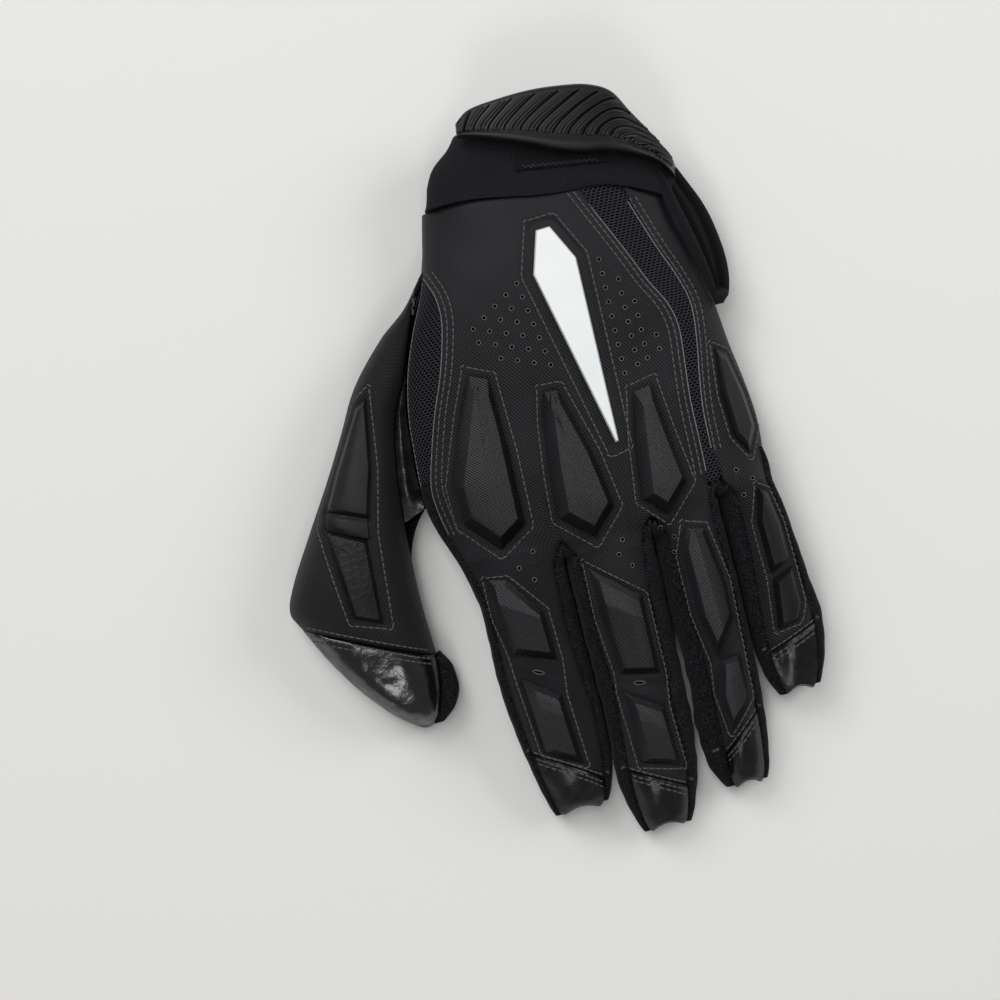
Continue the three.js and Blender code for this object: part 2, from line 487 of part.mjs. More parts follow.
// Back panels: one over the hand and three fingers, one over the outer side and the little finger
const outerEdges = [56, 47, 38, 28, 20, 9, 0, -11, -22].map((y) => ({
  left: outerEdge(y) + GAP / 2,
  leftY: y,
  right: hand.right(y - 4) - 0.2,
  rightY: y - 4,
}));
const backGrid = handGrid(BACK_EDGES, ["index", "middle", "ring"], 8, capLine);
const outerGrid = handGrid(outerEdges, ["little"], 7, capLine);
const onBack = (grid) => grid.rows.map((row) => row.map(([x, y]) => [x, y, backHeight(x, y)]));
const backOuter = onBack(backGrid);
const outerOuter = onBack(outerGrid);
add("back_panel", wall(backOuter, lifted(backOuter, -TEXTILE), backGrid.keep), BLACK_TEXTILE);
add("outer_panel", wall(outerOuter, lifted(outerOuter, -TEXTILE), outerGrid.keep), BLACK_TEXTILE);

// The palm with the fronts of all four fingers, in one piece of coated leather
const palmEdges = [64, 54, 44, 30, 19, 8, -3, -14, -24].map((y, i) => {
  const rightY = y - [13.5, 7, 3][Math.min(i, 2)];
  return { left: hand.left(y) + 0.3, leftY: y, right: hand.right(rightY) - 0.3, rightY };
});
const allFingers = ["index", "middle", "ring", "little"];
const palmGrid = handGrid(palmEdges, allFingers, 8, (name) => fingers[name].tip);
const palmOuter = palmGrid.rows.map((row, i) =>
  row.map(([x, y], j) => {
    const name = allFingers[palmGrid.stops[j].finger];
    return [x, y, i < palmEdges.length ? palmHeight(x, y) : underFinger(fingers[name], x, y)];
  }),
);
add("palm", wall(palmOuter, lifted(palmOuter, LEATHER), palmGrid.keep), BLACK_LEATHER);

// Mesh gussets: a wide one towards the thumb and a narrow one towards the little finger
function strip(leftSide, rightSide, columns, height, thickness) {
  const outer = leftSide.map((left, i) =>
    Array.from({ length: columns + 1 }, (_, j) => {
      const x = mix(left[0], rightSide[i][0], share(j, columns));
      const y = mix(left[1], rightSide[i][1], share(j, columns));
      return [x, y, height(x, y, i, share(j, columns))];
    }),
  );
  return wall(outer, lifted(outer, -thickness));
}
const gussetRows = BACK_EDGES.slice(2, 10);
add(
  "thumb_gusset",
  strip(
    gussetRows.map(({ left, leftY }) => [Math.min(hand.left(leftY) + 0.1, left - GAP - 0.8), leftY]),
    gussetRows.map(({ left, leftY }) => [left - GAP, leftY]),
    3,
    (x, y) => backHeight(x, y) - 0.4,
    MESH,
  ),
  BLACK_MESH,
);
const narrowRows = [...BACK_EDGES, { right: 27.1, rightY: -31.2 }];
add(
  "outer_gusset",
  strip(
    narrowRows.map(({ right, rightY }, i) => [right + GAP, i === 0 ? cuffSeam(right) - 0.9 : rightY]),
    narrowRows.map(({ right, rightY }, i) => {
      const x = Math.max(outerEdge(i === 0 ? 56 : rightY) - GAP, right + GAP + 0.8);
      return [x, i === 0 ? cuffSeam(x) - 0.9 : rightY];
    }),
    2,
    (x, y) => backHeight(x, y) - 0.4,
    MESH,
  ),
  BLACK_MESH,
);

// Fingertip caps of smooth leather, from the slanting seam to the end of the finger
for (const name of allFingers) {
  const finger = fingers[name];
  const rows = 4;
  const columns = 5;
  const outer = Array.from({ length: rows + 1 }, (_, i) =>
    Array.from({ length: columns + 1 }, (_, j) => {
      const across = share(j, columns);
      const y = mix(capLine(name, across) - GAP, finger.tip + 1, share(i, rows));
      const x = mix(finger.seamLeft(y), finger.seamRight(y), across);
      return [x, y, backHeight(x, y)];
    }),
  );
  const front = outer[rows].map(([x]) => [x, finger.tip, underFinger(finger, x, finger.tip) + LEATHER + GAP + 1.8]);
  outer.push(front);
  add(`fingertip_${name}`, wall(outer, lifted(outer, -1.8)), TIP_LEATHER);
}

// Stations of a side wall: the seam that it starts from, its outermost reach and its top and bottom
function sideStations(name, side) {
  const finger = fingers[name];
  const reach = finger[`wall${side}`];
  const sign = side === "Left" ? -1 : 1;
  const start = rootY(name, side);
  const levels = [start - 4.5, ...finger.rows.map((row) => row.y).filter((y) => y < start - 8)];
  return levels.map((y) => {
    const edge = fingerEdge(name, side, y);
    const clear = GAP + 1.3 * THREE.MathUtils.smoothstep(y, start - 16, start);
    return {
      edge: [edge + sign * clear, y],
      reach: [reach(y), y],
      top: backHeight(edge, y) - GAP,
      bottom: underFinger(finger, edge, y) + GAP,
    };
  });
}

// A wall of stretch fabric through its stations, bulging out between the back and the palm.
function sideWall(stations) {
  const levels = [0, 0.22, 0.5, 0.78, 1];
  const sections = stations.map(({ edge, reach, top, bottom }) => {
    const away = new THREE.Vector2(reach[0] - edge[0], reach[1] - edge[1]);
    const length = away.length();
    away.normalize();
    return levels.map((level) => {
      const bulge = Math.pow(Math.sin(Math.PI * level), 0.7);
      const z = mix(top, bottom, level);
      const near = (length - STRETCH) * bulge;
      const at = (distance) => [edge[0] + away.x * distance, edge[1] + away.y * distance, z];
      return { outer: at(near + STRETCH), inner: at(near) };
    });
  });
  const grid = (face) => sections.map((section) => section.map((point) => point[face]));
  return wall(grid("outer"), grid("inner"));
}

// The strip between two fingers runs down one, round the crotch and down the other
function betweenFingers(first, second) {
  const a = ROOTS[first];
  const b = ROOTS[second];
  const middleX = (a.right + b.left) / 2;
  const top = Math.min(a.rightY, b.leftY);
  const crotch = [
    { edge: [a.right + 0.1, top - 1.2], reach: [middleX - 0.25, top - 4.4] },
    { edge: [middleX, top - 0.5], reach: [middleX, top - 3.2] },
    { edge: [b.left - 0.1, top - 1.2], reach: [middleX + 0.25, top - 4.4] },
  ].map((station) => ({
    ...station,
    top: backHeight(middleX, top) - 0.8,
    bottom: palmHeight(middleX, top) + 0.8,
  }));
  const down = sideStations(first, "Right").reverse();
  return sideWall([...down, ...crotch, ...sideStations(second, "Left")]);
}
add("fourchette_index_middle", betweenFingers("index", "middle"), BLACK_STRETCH);
add("fourchette_middle_ring", betweenFingers("middle", "ring"), BLACK_STRETCH);
add("fourchette_ring_little", betweenFingers("ring", "little"), BLACK_STRETCH);

// The outermost side strips start at the hand, along the edge of its back panel
const backLeft = columnCurve([...BACK_EDGES, { left: ROOTS.index.left, leftY: ROOTS.index.leftY }], "leftY", "left");
const handStation = (edgeX, reachX, y) => ({
  edge: [edgeX, y],
  reach: [reachX, y],
  top: backHeight(edgeX, y) - GAP,
  bottom: PALM_RISE + LEATHER + GAP,
});
const indexRoot = [-14.5, -20, -27, -33, -38].map((y) => handStation(backLeft(y) - 0.6, hand.left(y) + 0.3, y));
add("index_side", sideWall([...indexRoot, ...sideStations("index", "Left")]), BLACK_STRETCH);
const littleRoot = [-26.6, -30.2].map((y) => handStation(hand.right(y) + 0.4, hand.right(y) + 2.0, y));
add("little_side", sideWall([...littleRoot, ...sideStations("little", "Right")]), BLACK_STRETCH);

// The thumb is a flattened tube of sections, with a back panel, a leather tip and a coated front
function thumbGrid(from, to, columns, height, inset = 0) {
  return THUMB.slice(from, to + 1).map((section) =>
    Array.from({ length: columns + 1 }, (_, j) => {
      const t = share(j, columns);
      const across = 2 * t - 1;
      const width = Math.hypot(section.inX - section.outX, section.inY - section.outY);
      const s = mix(inset / width, 1 - inset / width, t);
      return [
        mix(section.outX, section.inX, s),
        mix(section.outY, section.inY, s),
        height(section, across),
      ];
    }),
  );
}
function thumbTop(section, across) {
  return dome(across, across < 0 ? section.outEdge : section.inEdge, section.ridge);
}
const thumbOuter = thumbGrid(0, THUMB_SEAM, 8, thumbTop);
add("thumb_back", wall(thumbOuter, lifted(thumbOuter, -TEXTILE)), BLACK_TEXTILE);

const tipOuter = thumbGrid(THUMB_SEAM, THUMB.length - 1, 8, thumbTop);
for (const point of tipOuter[0]) {
  const next = tipOuter[1][tipOuter[0].indexOf(point)];
  const step = Math.hypot(next[0] - point[0], next[1] - point[1]);
  point[0] = mix(point[0], next[0], GAP / step);
  point[1] = mix(point[1], next[1], GAP / step);
}
add("thumb_tip", wall(tipOuter, lifted(tipOuter, -1.8)), TIP_LEATHER);

// The coated leather under the thumb, which reaches the palm along the web
const thumbUnder = THUMB.map((section, i) => {
  const web = i < THUMB_CROTCH + 1 ? WEB_HAND_SIDE[i] : null;
  const inX = web ? hand.left(web.y) - GAP : section.inX;
  const inY = web ? web.y : section.inY;
  const rims = [section.outEdge, web ? PALM_RISE + TEXTILE + GAP + LEATHER : section.inEdge];
  return Array.from({ length: 7 }, (_, j) => {
    const t = share(j, 6);
    const rim = rims[t < 0.5 ? 0 : 1] - TEXTILE - GAP - LEATHER;
    const z = mix(0.4, rim, Math.pow(Math.abs(2 * t - 1), 3));
    return [mix(section.outX, inX, t), mix(section.outY, inY, t), z];
  });
});
add("thumb_palm", wall(thumbUnder, lifted(thumbUnder, LEATHER)), BLACK_LEATHER);

// The web: a dip of coated leather between the hand's side and the thumb's root
const webGrid = WEB_HAND_SIDE.map((point, i) => {
  const section = THUMB[i];
  const last = i === THUMB_CROTCH;
  return Array.from({ length: 5 }, (_, j) => {
    const t = share(j, 4);
    const dip = 2.4 * Math.sin(Math.PI * t);
    const handZ = backHeight(hand.left(point.y) + 0.4, point.y) - 1.0;
    const z = last ? 8.8 : mix(handZ, section.inEdge - 0.6, t) - dip;
    return [mix(point.x - GAP, section.inX + GAP, t), mix(point.y, section.inY, t), z];
  });
});
add("thumb_web", wall(webGrid, lifted(webGrid, -1.4)), BLACK_LEATHER);

const stripGrid = THUMB_STRIP.map((point, i) => {
  const section = THUMB[THUMB_SEAM + i];
  return [0, 0.5, 1].map((t) => [
    mix(section.inX + GAP, point.x, t),
    mix(section.inY, point.y, t),
    mix(section.inEdge + 0.6, 5.2, t * t),
  ]);
});
add("thumb_side", wall(stripGrid, lifted(stripGrid, -STRETCH * 2)), BLACK_STRETCH);

// Pads stand on their panel: a sloped block over the pad's outline, cut off above the panel's surface
const clearances = {
  back: toSolid(wall(lifted(backOuter, GAP), lifted(backOuter, -12), backGrid.keep)),
  outer: toSolid(wall(lifted(outerOuter, GAP), lifted(outerOuter, -8), outerGrid.keep)),
  palm: toSolid(wall(lifted(palmOuter, -1), lifted(palmOuter, LEATHER + GAP), palmGrid.keep)),
  thumb: toSolid(wall(lifted(thumbOuter, GAP), lifted(thumbOuter, -8))),
};
const thumbSurface = (x, y) => {
  let best = null;
  for (let i = 0; i < THUMB_SEAM; i += 1) {
    for (let k = 0; k <= 10; k += 1) {
      for (let j = 0; j <= 20; j += 1) {
        const s = Object.fromEntries(Object.keys(THUMB[0]).map((c) => [c, mix(THUMB[i][c], THUMB[i + 1][c], k / 10)]));
        const t = share(j, 20);
        const distance = Math.hypot(mix(s.outX, s.inX, t) - x, mix(s.outY, s.inY, t) - y);
        if (!best || distance < best.distance) best = { distance, z: thumbTop(s, 2 * t - 1) };
      }
    }
  }
  return best.z;
};
const surfaces = { back: backHeight, outer: backHeight, thumb: thumbSurface };

// Moves every side of a convex outline inwards by its own slope width.
function slopedIn(corners) {
  const count = corners.length;
  const lines = corners.map((corner, i) => {
    const next = corners[(i + 1) % count];
    const along = new THREE.Vector2(next.x - corner.x, next.y - corner.y).normalize();
    const inward = new THREE.Vector2(along.y, -along.x);
    return { at: new THREE.Vector2(corner.x, corner.y).addScaledVector(inward, corner.slope), along };
  });
  return lines.map((line, i) => {
    const before = lines[(i + count - 1) % count];
    const offset = line.at.clone().sub(before.at);
    const t = offset.cross(line.along) / before.along.cross(line.along);
    return before.at.clone().addScaledVector(before.along, t);
  });
}

for (const [name, pad] of Object.entries(PADS)) {
  const surface = surfaces[pad.panel];
  const top = slopedIn(pad.corners);
  const count = pad.corners.length;
  const centre = top.reduce((sum, point) => sum.add(point), new THREE.Vector2()).divideScalar(count);
  const points = [
    ...pad.corners.map(({ x, y }) => [x, y, surface(x, y) - 1.5]),
    ...pad.corners.map(({ x, y }) => [x, y, surface(x, y) + GAP + 0.5]),
    ...top.map(({ x, y }) => [x, y, surface(x, y) + GAP + pad.top]),
    [centre.x, centre.y, surface(centre.x, centre.y) - 1.5],
    [centre.x, centre.y, surface(centre.x, centre.y) + GAP + pad.top],
  ];
  const faces = [];
  for (let i = 0; i < count; i += 1) {
    const next = (i + 1) % count;
    for (const level of [0, count]) {
      faces.push([level + i, level + next, level + count + next], [level + i, level + count + next, level + count + i]);
    }
    faces.push([3 * count, next, i], [3 * count + 1, 2 * count + i, 2 * count + next]);
  }
  const block = toSolid(solidGeometry(points, faces));
  const finish = name === "emblem" ? WHITE_PRINT : pad.panel === "back" ? BLACK_TEXTILE : BLACK_RUBBER;
  add(name, fromSolid(block.subtract(clearances[pad.panel])), finish);
}

// The cuff: a flattened tube of neoprene, open at the wrist and towards the hand
function ovalRing(section, sides, inset) {
  const middle = new THREE.Vector2(mix(section.leftX, section.rightX, 0.5), mix(section.leftY, section.rightY, 0.5));
  const halfAcross = new THREE.Vector2(section.rightX, section.rightY).sub(middle);
  const width = halfAcross.length();
  return Array.from({ length: sides + 1 }, (_, k) => {
    const angle = (2 * Math.PI * (k % sides)) / sides;
    const bend = (value) => Math.sign(value) * Math.pow(Math.abs(value), 0.72);
    const across = (bend(Math.cos(angle)) * (width - inset)) / width;
    const up = bend(Math.sin(angle)) * (section.top / 2 - inset);
    return [middle.x + halfAcross.x * across, middle.y + halfAcross.y * across, section.top / 2 + up];
  });
}
const cuffSides = 28;
const onSeam = (ring) => ring.map(([x, , z]) => [x, cuffSeam(x), z]);
const cuffRings = (inset, lift = 0) =>
  CUFF.map((section, i) => {
    const ring = ovalRing({ ...section, top: section.top + lift }, cuffSides, inset);
    return i === 0 ? onSeam(ring) : ring;
  });
const cuffOuter = cuffRings(0);
const cuffInner = cuffRings(CUFF_WALL);
function tubeWall(outer, inner) {
  const sides = outer[0].length - 1;
  const rings = [...outer, ...[...inner].reverse()];
  const points = rings.flatMap((ring) => ring.slice(0, sides));
  const faces = [];
  rings.forEach((_, i) => {
    const next = ((i + 1) % rings.length) * sides;
    for (let k = 0; k < sides; k += 1) {
      const after = (k + 1) % sides;
      faces.push([i * sides + k, i * sides + after, next + after], [i * sides + k, next + after, next + k]);
    }
  });
  return solidGeometry(points, faces);
}
add("cuff", tubeWall(cuffOuter, cuffInner), BLACK_STRETCH);

// Height of the cuff's back under a point of the strap.
function cuffTop(x, y) {
  const sections = CUFF.map((section) => {
    const along = new THREE.Vector2(section.rightX - section.leftX, section.rightY - section.leftY);
    const t = new THREE.Vector2(x - section.leftX, y - section.leftY).dot(along) / along.lengthSq();
    return { section, across: THREE.MathUtils.clamp(2 * t - 1, -1, 1) };
  });
  const { section, across } = sections[2];
  const cosine = Math.pow(Math.abs(across), 1 / 0.72);
  return section.top / 2 + (section.top / 2) * Math.pow(Math.max(1 - cosine * cosine, 0), 0.36);
}
const highest = (a, b) => (b.boundingBox().max[2] > a.boundingBox().max[2] ? b : a);
const strapColumns = 5;
const strapGrid = STRAP.map((row) =>
  Array.from({ length: strapColumns + 1 }, (_, j) => {
    const t = share(j, strapColumns);
    const x = mix(row.lowX, row.highX, t);
    const y = mix(row.lowY, row.highY, t);
    return [x, y, Math.max(cuffTop(x, y), 12) + 2 * GAP + PATCH + 0.2 + STRAP_WALL + row.rise - 1.6 * t * t];
  }),
);
const cuffWall = toSolid(tubeWall(cuffRings(-GAP, GAP), cuffInner));
const cuffKeepOut = cuffWall.add(cuffWall.translate([0, -GAP, 0]));
const patchGrid = [0.16, 0.3, 0.46, 0.62].map((t) =>
  [0, 0.34, 0.67, 1].map((s) => {
    const x = mix(-26, 26, t) + 3 * s;
    const y = mix(72, 64.5, t) + 8 * s;
    return [x, y, cuffTop(x, y) + 2 * GAP + PATCH];
  }),
);
const patchBlock = toSolid(wall(patchGrid, lifted(patchGrid, -PATCH - 3)));
add("loop_patch", fromSolid(patchBlock.subtract(cuffKeepOut).decompose().reduce(highest)), BLACK_STRETCH);

const strapBlock = toSolid(wall(strapGrid, lifted(strapGrid, -STRAP_WALL)));
add("wrist_strap", fromSolid(strapBlock.subtract(cuffKeepOut)), BLACK_RUBBER);

// The padded side tab bends over the outer side of the wrist
const tabGrid = (inset) =>
  SIDE_TAB.map(({ y, left, right, low }) =>
    [0, 0.2, 0.4, 0.6, 0.8, 1].map((t) => {
      const angle = (Math.PI / 2) * t;
      const top = backHeight(left, y) + 2 * GAP + TAB_THICKNESS - inset;
      const x = mix(left, right - inset, Math.pow(Math.sin(angle), 0.7));
      return [x, y, mix(low, top, Math.pow(Math.cos(angle), 0.7))];
    }),
  );
add("side_tab", wall(tabGrid(0), tabGrid(TAB_THICKNESS)), BLACK_STRETCH);

export default glove;
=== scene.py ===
# %% [markdown]
# # A padded football glove, piece by piece
# A lineman's glove is sewn from about forty pieces: woven panels with moulded pads over the back, coated
# leather for the palm, knit strips between the fingers, mesh gussets, a neoprene cuff and a wrist strap.
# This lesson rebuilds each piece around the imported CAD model, which gives every piece its place.
# All tables are in millimetres, with +Y to the wrist, +Z up and the little finger on +X.

import json
import math

import bpy
import numpy as np
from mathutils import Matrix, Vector
from mathutils.bvhtree import BVHTree

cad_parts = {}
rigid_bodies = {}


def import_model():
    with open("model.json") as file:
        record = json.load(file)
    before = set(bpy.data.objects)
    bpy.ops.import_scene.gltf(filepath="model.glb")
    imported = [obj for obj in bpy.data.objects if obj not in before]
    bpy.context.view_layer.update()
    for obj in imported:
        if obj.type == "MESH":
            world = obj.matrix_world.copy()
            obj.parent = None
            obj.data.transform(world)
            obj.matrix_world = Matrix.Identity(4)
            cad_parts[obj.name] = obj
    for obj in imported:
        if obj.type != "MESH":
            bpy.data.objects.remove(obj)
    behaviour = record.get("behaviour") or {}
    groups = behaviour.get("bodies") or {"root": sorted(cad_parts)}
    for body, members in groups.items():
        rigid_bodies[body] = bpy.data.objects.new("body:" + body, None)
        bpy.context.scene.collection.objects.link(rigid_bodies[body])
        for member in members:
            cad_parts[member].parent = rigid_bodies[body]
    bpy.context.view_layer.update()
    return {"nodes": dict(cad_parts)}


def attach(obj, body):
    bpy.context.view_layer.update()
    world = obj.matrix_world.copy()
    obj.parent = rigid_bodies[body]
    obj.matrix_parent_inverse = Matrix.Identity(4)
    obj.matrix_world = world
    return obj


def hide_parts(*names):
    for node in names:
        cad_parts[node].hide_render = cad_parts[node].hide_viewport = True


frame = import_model()
MM = 0.001
print("CAD nodes:", len(frame["nodes"]))

# %% [markdown]
# ## The glove's measures
# The pattern maker's numbers come first, because every piece below reads them. Each table has one row per
# station along the hand, a finger or the thumb, and smooth curves through the rows give all places between.

# %% Tables of the hand and the fingers
# y, left side, right side, height of the ridge, height of the left edge
HAND = np.array([
    (66, -34.0, 38.0, 25.0, 9.2), (54, -37.0, 40.0, 26.0, 10.0), (44, -39.6, 40.6, 26.8, 12.0),
    (30, -46.0, 42.0, 27.6, 14.5), (19, -50.0, 43.2, 28.2, 15.0), (8, -52.4, 44.2, 28.6, 15.0),
    (-3, -53.4, 45.8, 28.9, 15.0), (-14, -53.9, 47.0, 29.0, 14.0), (-22, -53.2, 46.9, 28.6, 11.0),
    (-30, -51.0, 46.0, 27.4, 9.6), (-38, -48.0, 46.4, 24.6, 9.2), (-45, -46.4, 47.8, 19.5, 9.2),
    (-54, -45.2, 48.8, 11.0, 9.2)])
# y, left and right seam of the back, left and right reach of the side strips, ridge height, underside
FINGERS = {
    "index": [
        (-42, -44.6, -21.9, -46.9, -18.45, 25.4, 0.2), (-52, -43.0, -22.3, -45.2, -18.45, 24.2, 0.8),
        (-62, -42.9, -22.5, -45.3, -18.45, 22.8, 1.2), (-74, -43.0, -21.8, -45.5, -18.4, 21.4, 1.4),
        (-86, -42.2, -20.9, -44.6, -18.2, 19.8, 1.0), (-96, -41.0, -21.0, -43.2, -18.3, 18.0, 0.5),
        (-106, -39.3, -22.0, -41.4, -19.3, 15.4, 0.4), (-113, -37.9, -23.6, -39.8, -21.6, 11.4, 0.7),
        (-117, -36.8, -25.2, -38.4, -23.6, 7.4, 0.9)],
    "middle": [
        (-44, -13.9, 4.7, -17.75, 8.1, 26.0, 0.2), (-56, -14.0, 3.3, -17.75, 8.0, 24.6, 0.9),
        (-70, -14.0, 2.6, -17.75, 7.5, 23.0, 1.4), (-83, -13.2, 2.1, -17.6, 7.0, 21.4, 1.4),
        (-95, -13.8, 1.9, -17.6, 6.8, 19.8, 1.0), (-106, -14.6, 2.0, -18.3, 5.8, 17.8, 0.5),
        (-115, -14.4, 1.0, -17.9, 4.2, 15.0, 0.4), (-123, -13.6, -0.7, -15.9, 1.7, 11.0, 0.7),
        (-128, -12.4, -2.2, -14.0, -0.6, 7.4, 0.9)],
    "ring": [
        (-43, 12.8, 26.2, 8.7, 29.15, 25.2, 0.2), (-54, 13.3, 26.8, 8.6, 29.2, 24.0, 0.9),
        (-66, 13.6, 26.8, 8.2, 29.2, 22.6, 1.3), (-78, 14.4, 26.5, 9.0, 29.0, 21.2, 1.4),
        (-90, 14.5, 26.0, 8.8, 28.6, 19.6, 1.0), (-101, 14.3, 25.4, 7.9, 28.0, 17.6, 0.5),
        (-110, 14.2, 24.8, 8.4, 27.0, 14.8, 0.4), (-117, 14.3, 24.0, 10.4, 25.8, 11.0, 0.7),
        (-121.5, 15.0, 22.6, 13.2, 24.2, 7.4, 0.9)],
    "little": [
        (-34, 34.6, 44.2, 29.8, 46.1, 22.4, 0.2), (-43, 35.1, 45.6, 29.85, 47.6, 21.8, 0.8),
        (-54, 35.2, 46.6, 29.85, 48.8, 20.8, 1.2), (-66, 34.5, 47.4, 29.8, 50.0, 19.4, 1.3),
        (-76, 34.0, 48.0, 29.9, 51.2, 17.6, 0.8), (-85, 34.1, 47.2, 30.4, 50.2, 15.0, 0.4),
        (-93, 34.9, 45.5, 32.0, 47.9, 10.6, 0.7), (-98, 36.0, 43.9, 34.4, 45.5, 7.2, 0.9)],
}
FINGERS = {name: np.array(rows) for name, rows in FINGERS.items()}
# where a finger leaves the hand (left x, y, right x, y), and the slanting line where its cap begins
ROOTS = {
    "index": (-46.0, -38, -19.4, -39, -96.5, -108.5),
    "middle": (-16.6, -39, 6.2, -39, -108, -116.5),
    "ring": (10.4, -38, 27.0, -32, -110, -100),
    "little": (31.4, -31, 44.8, -30, -84.5, -79),
}
# left edge x, y and right edge x, y of the main back panel, from the cuff to the knuckles
BACK_EDGES = np.array([
    (-34.4, 63.4, 11.6, 58.4), (-36.9, 54, 14.4, 52), (-38.7, 47, 17.6, 45), (-36.4, 40, 21.2, 37),
    (-36.2, 33, 24.6, 29), (-38.0, 25, 28.6, 21.4), (-40.9, 16, 30.0, 14), (-44.6, 7, 29.1, 4),
    (-48.0, -3, 28.0, -7), (-50.8, -13, 27.7, -18), (-50.8, -20, 27.6, -23), (-49.4, -28, 27.4, -28)])
OUTER_EDGE = np.array([
    (55.6, 23.2), (49, 25.4), (38, 29.2), (28, 33.2), (20, 35.0), (9, 33.9), (0, 32.2), (-11, 30.6), (-22, 30.2)])
CUFF_SEAM = np.array([
    (-34, 65.2), (-20, 64.6), (-10, 62.8), (0, 60.8), (10, 60.2), (17, 60.6), (24, 58.4), (32, 54.2), (39, 51.0)])

# %% Tables of the thumb, the cuff and the strap
# outer side x, y, inner side x, y, ridge height, heights of the two sides
THUMB = np.array([
    (-36.4, 51.5, -36.0, 49.0, 11.0, 9.0, 10.0), (-41.0, 45.5, -42.6, 41.0, 13.4, 10.8, 12.6),
    (-46.6, 39.0, -47.4, 29.5, 16.2, 10.4, 13.5), (-55.5, 32.0, -51.2, 20.0, 18.5, 9.4, 13.5),
    (-66.0, 20.5, -56.0, 10.5, 20.0, 8.6, 13.0),
    (-73.2, 8.0, -58.6, 0.5, 21.2, 8.2, 12.4), (-80.4, -4.2, -60.2, -9.5, 22.4, 8.0, 11.6),
    (-89.6, -18.6, -61.3, -21.5, 23.4, 7.8, 9.6), (-97.2, -31.0, -62.0, -34.0, 23.6, 7.6, 7.8),
    (-100.4, -38.8, -62.2, -46.5, 22.6, 7.6, 7.6), (-98.2, -44.6, -61.6, -61.4, 20.4, 7.6, 7.6),
    (-92.4, -56.2, -61.8, -68.0, 18.6, 7.6, 7.6), (-85.4, -67.0, -63.0, -73.6, 16.4, 7.6, 7.6),
    (-78.2, -75.4, -64.8, -78.4, 13.0, 7.4, 7.4), (-72.4, -80.4, -67.2, -81.2, 8.4, 6.4, 6.4)])
THUMB_SEAM = 10    # the row at which the leather tip begins
THUMB_CROTCH = 7   # the row at which the thumb leaves the hand
THUMB_STRIP = np.array([(-60.4, -60.6), (-57.6, -66.0), (-57.3, -72.0), (-59.8, -77.6), (-64.0, -81.2)])
WEB_HAND_SIDE = np.array([
    (-35.8, 49.5), (-39.6, 42.6), (-45.6, 32.5), (-49.2, 22.0), (-52.4, 10.0), (-53.5, -1.5), (-54.1, -10.5),
    (-54.2, -19.0)])
# left x, y, right x, y, height
CUFF = np.array([
    (-33.8, 65.2, 38.6, 51.2, 25.2), (-31.2, 71.4, 40.2, 56.4, 25.4), (-28.2, 76.6, 40.6, 60.6, 25.6),
    (-22.8, 81.0, 39.4, 65.4, 25.4), (-19.6, 85.0, 37.0, 70.8, 24.8)])
# lower edge x, y, upper edge x, y, rise
STRAP = np.array([
    (-19.2, 82.6, -18.6, 86.6, 0.0), (-14.4, 81.0, -14.0, 89.4, 0.4), (-7.4, 78.2, -5.0, 90.2, 0.9),
    (0.2, 75.0, 4.4, 90.3, 1.3), (7.6, 71.6, 13.4, 89.4, 1.5), (14.6, 69.2, 21.0, 87.8, 1.5),
    (22.0, 67.8, 27.0, 84.4, 1.2), (29.2, 65.0, 31.2, 77.4, 0.7), (35.4, 61.6, 36.6, 68.8, 0.2),
    (40.2, 56.4, 41.2, 60.6, -0.4)])
# y, upper edge, outer reach, lower edge's height
SIDE_TAB = np.array([
    (60.0, 33.8, 40.0, 12.8), (55.4, 34.6, 42.0, 12.4), (50.6, 35.0, 44.2, 11.4), (48.0, 35.4, 45.2, 10.6),
    (44.0, 36.2, 46.4, 9.6), (37.0, 38.2, 47.6, 9.0), (30.0, 40.2, 48.0, 9.2), (24.0, 41.6, 47.2, 10.4),
    (18.4, 42.8, 45.2, 12.6)])

# %% Walls, and heights that several pieces share
CLOTH_WALL = 2.0      # the foam-backed cloth of the panels
KNIT_WALL = 1.2       # the strips between the fingers
MESH_WALL = 1.0       # the ground of the gussets
NEOPRENE_WALL = 2.4   # the cuff
LEATHER_WALL = 1.9    # the palm and the thumb's tip
SIDE_HEIGHT = 9.2     # where the back and the palm meet along the hand's side
CUFF_ROUND = 0.72     # the section of the cuff: 1 is an oval, 0 a box
DEEPEST_RIM = 5.3     # how far the palm turns up at its edges
print("walls from", MESH_WALL, "to", NEOPRENE_WALL, "mm")

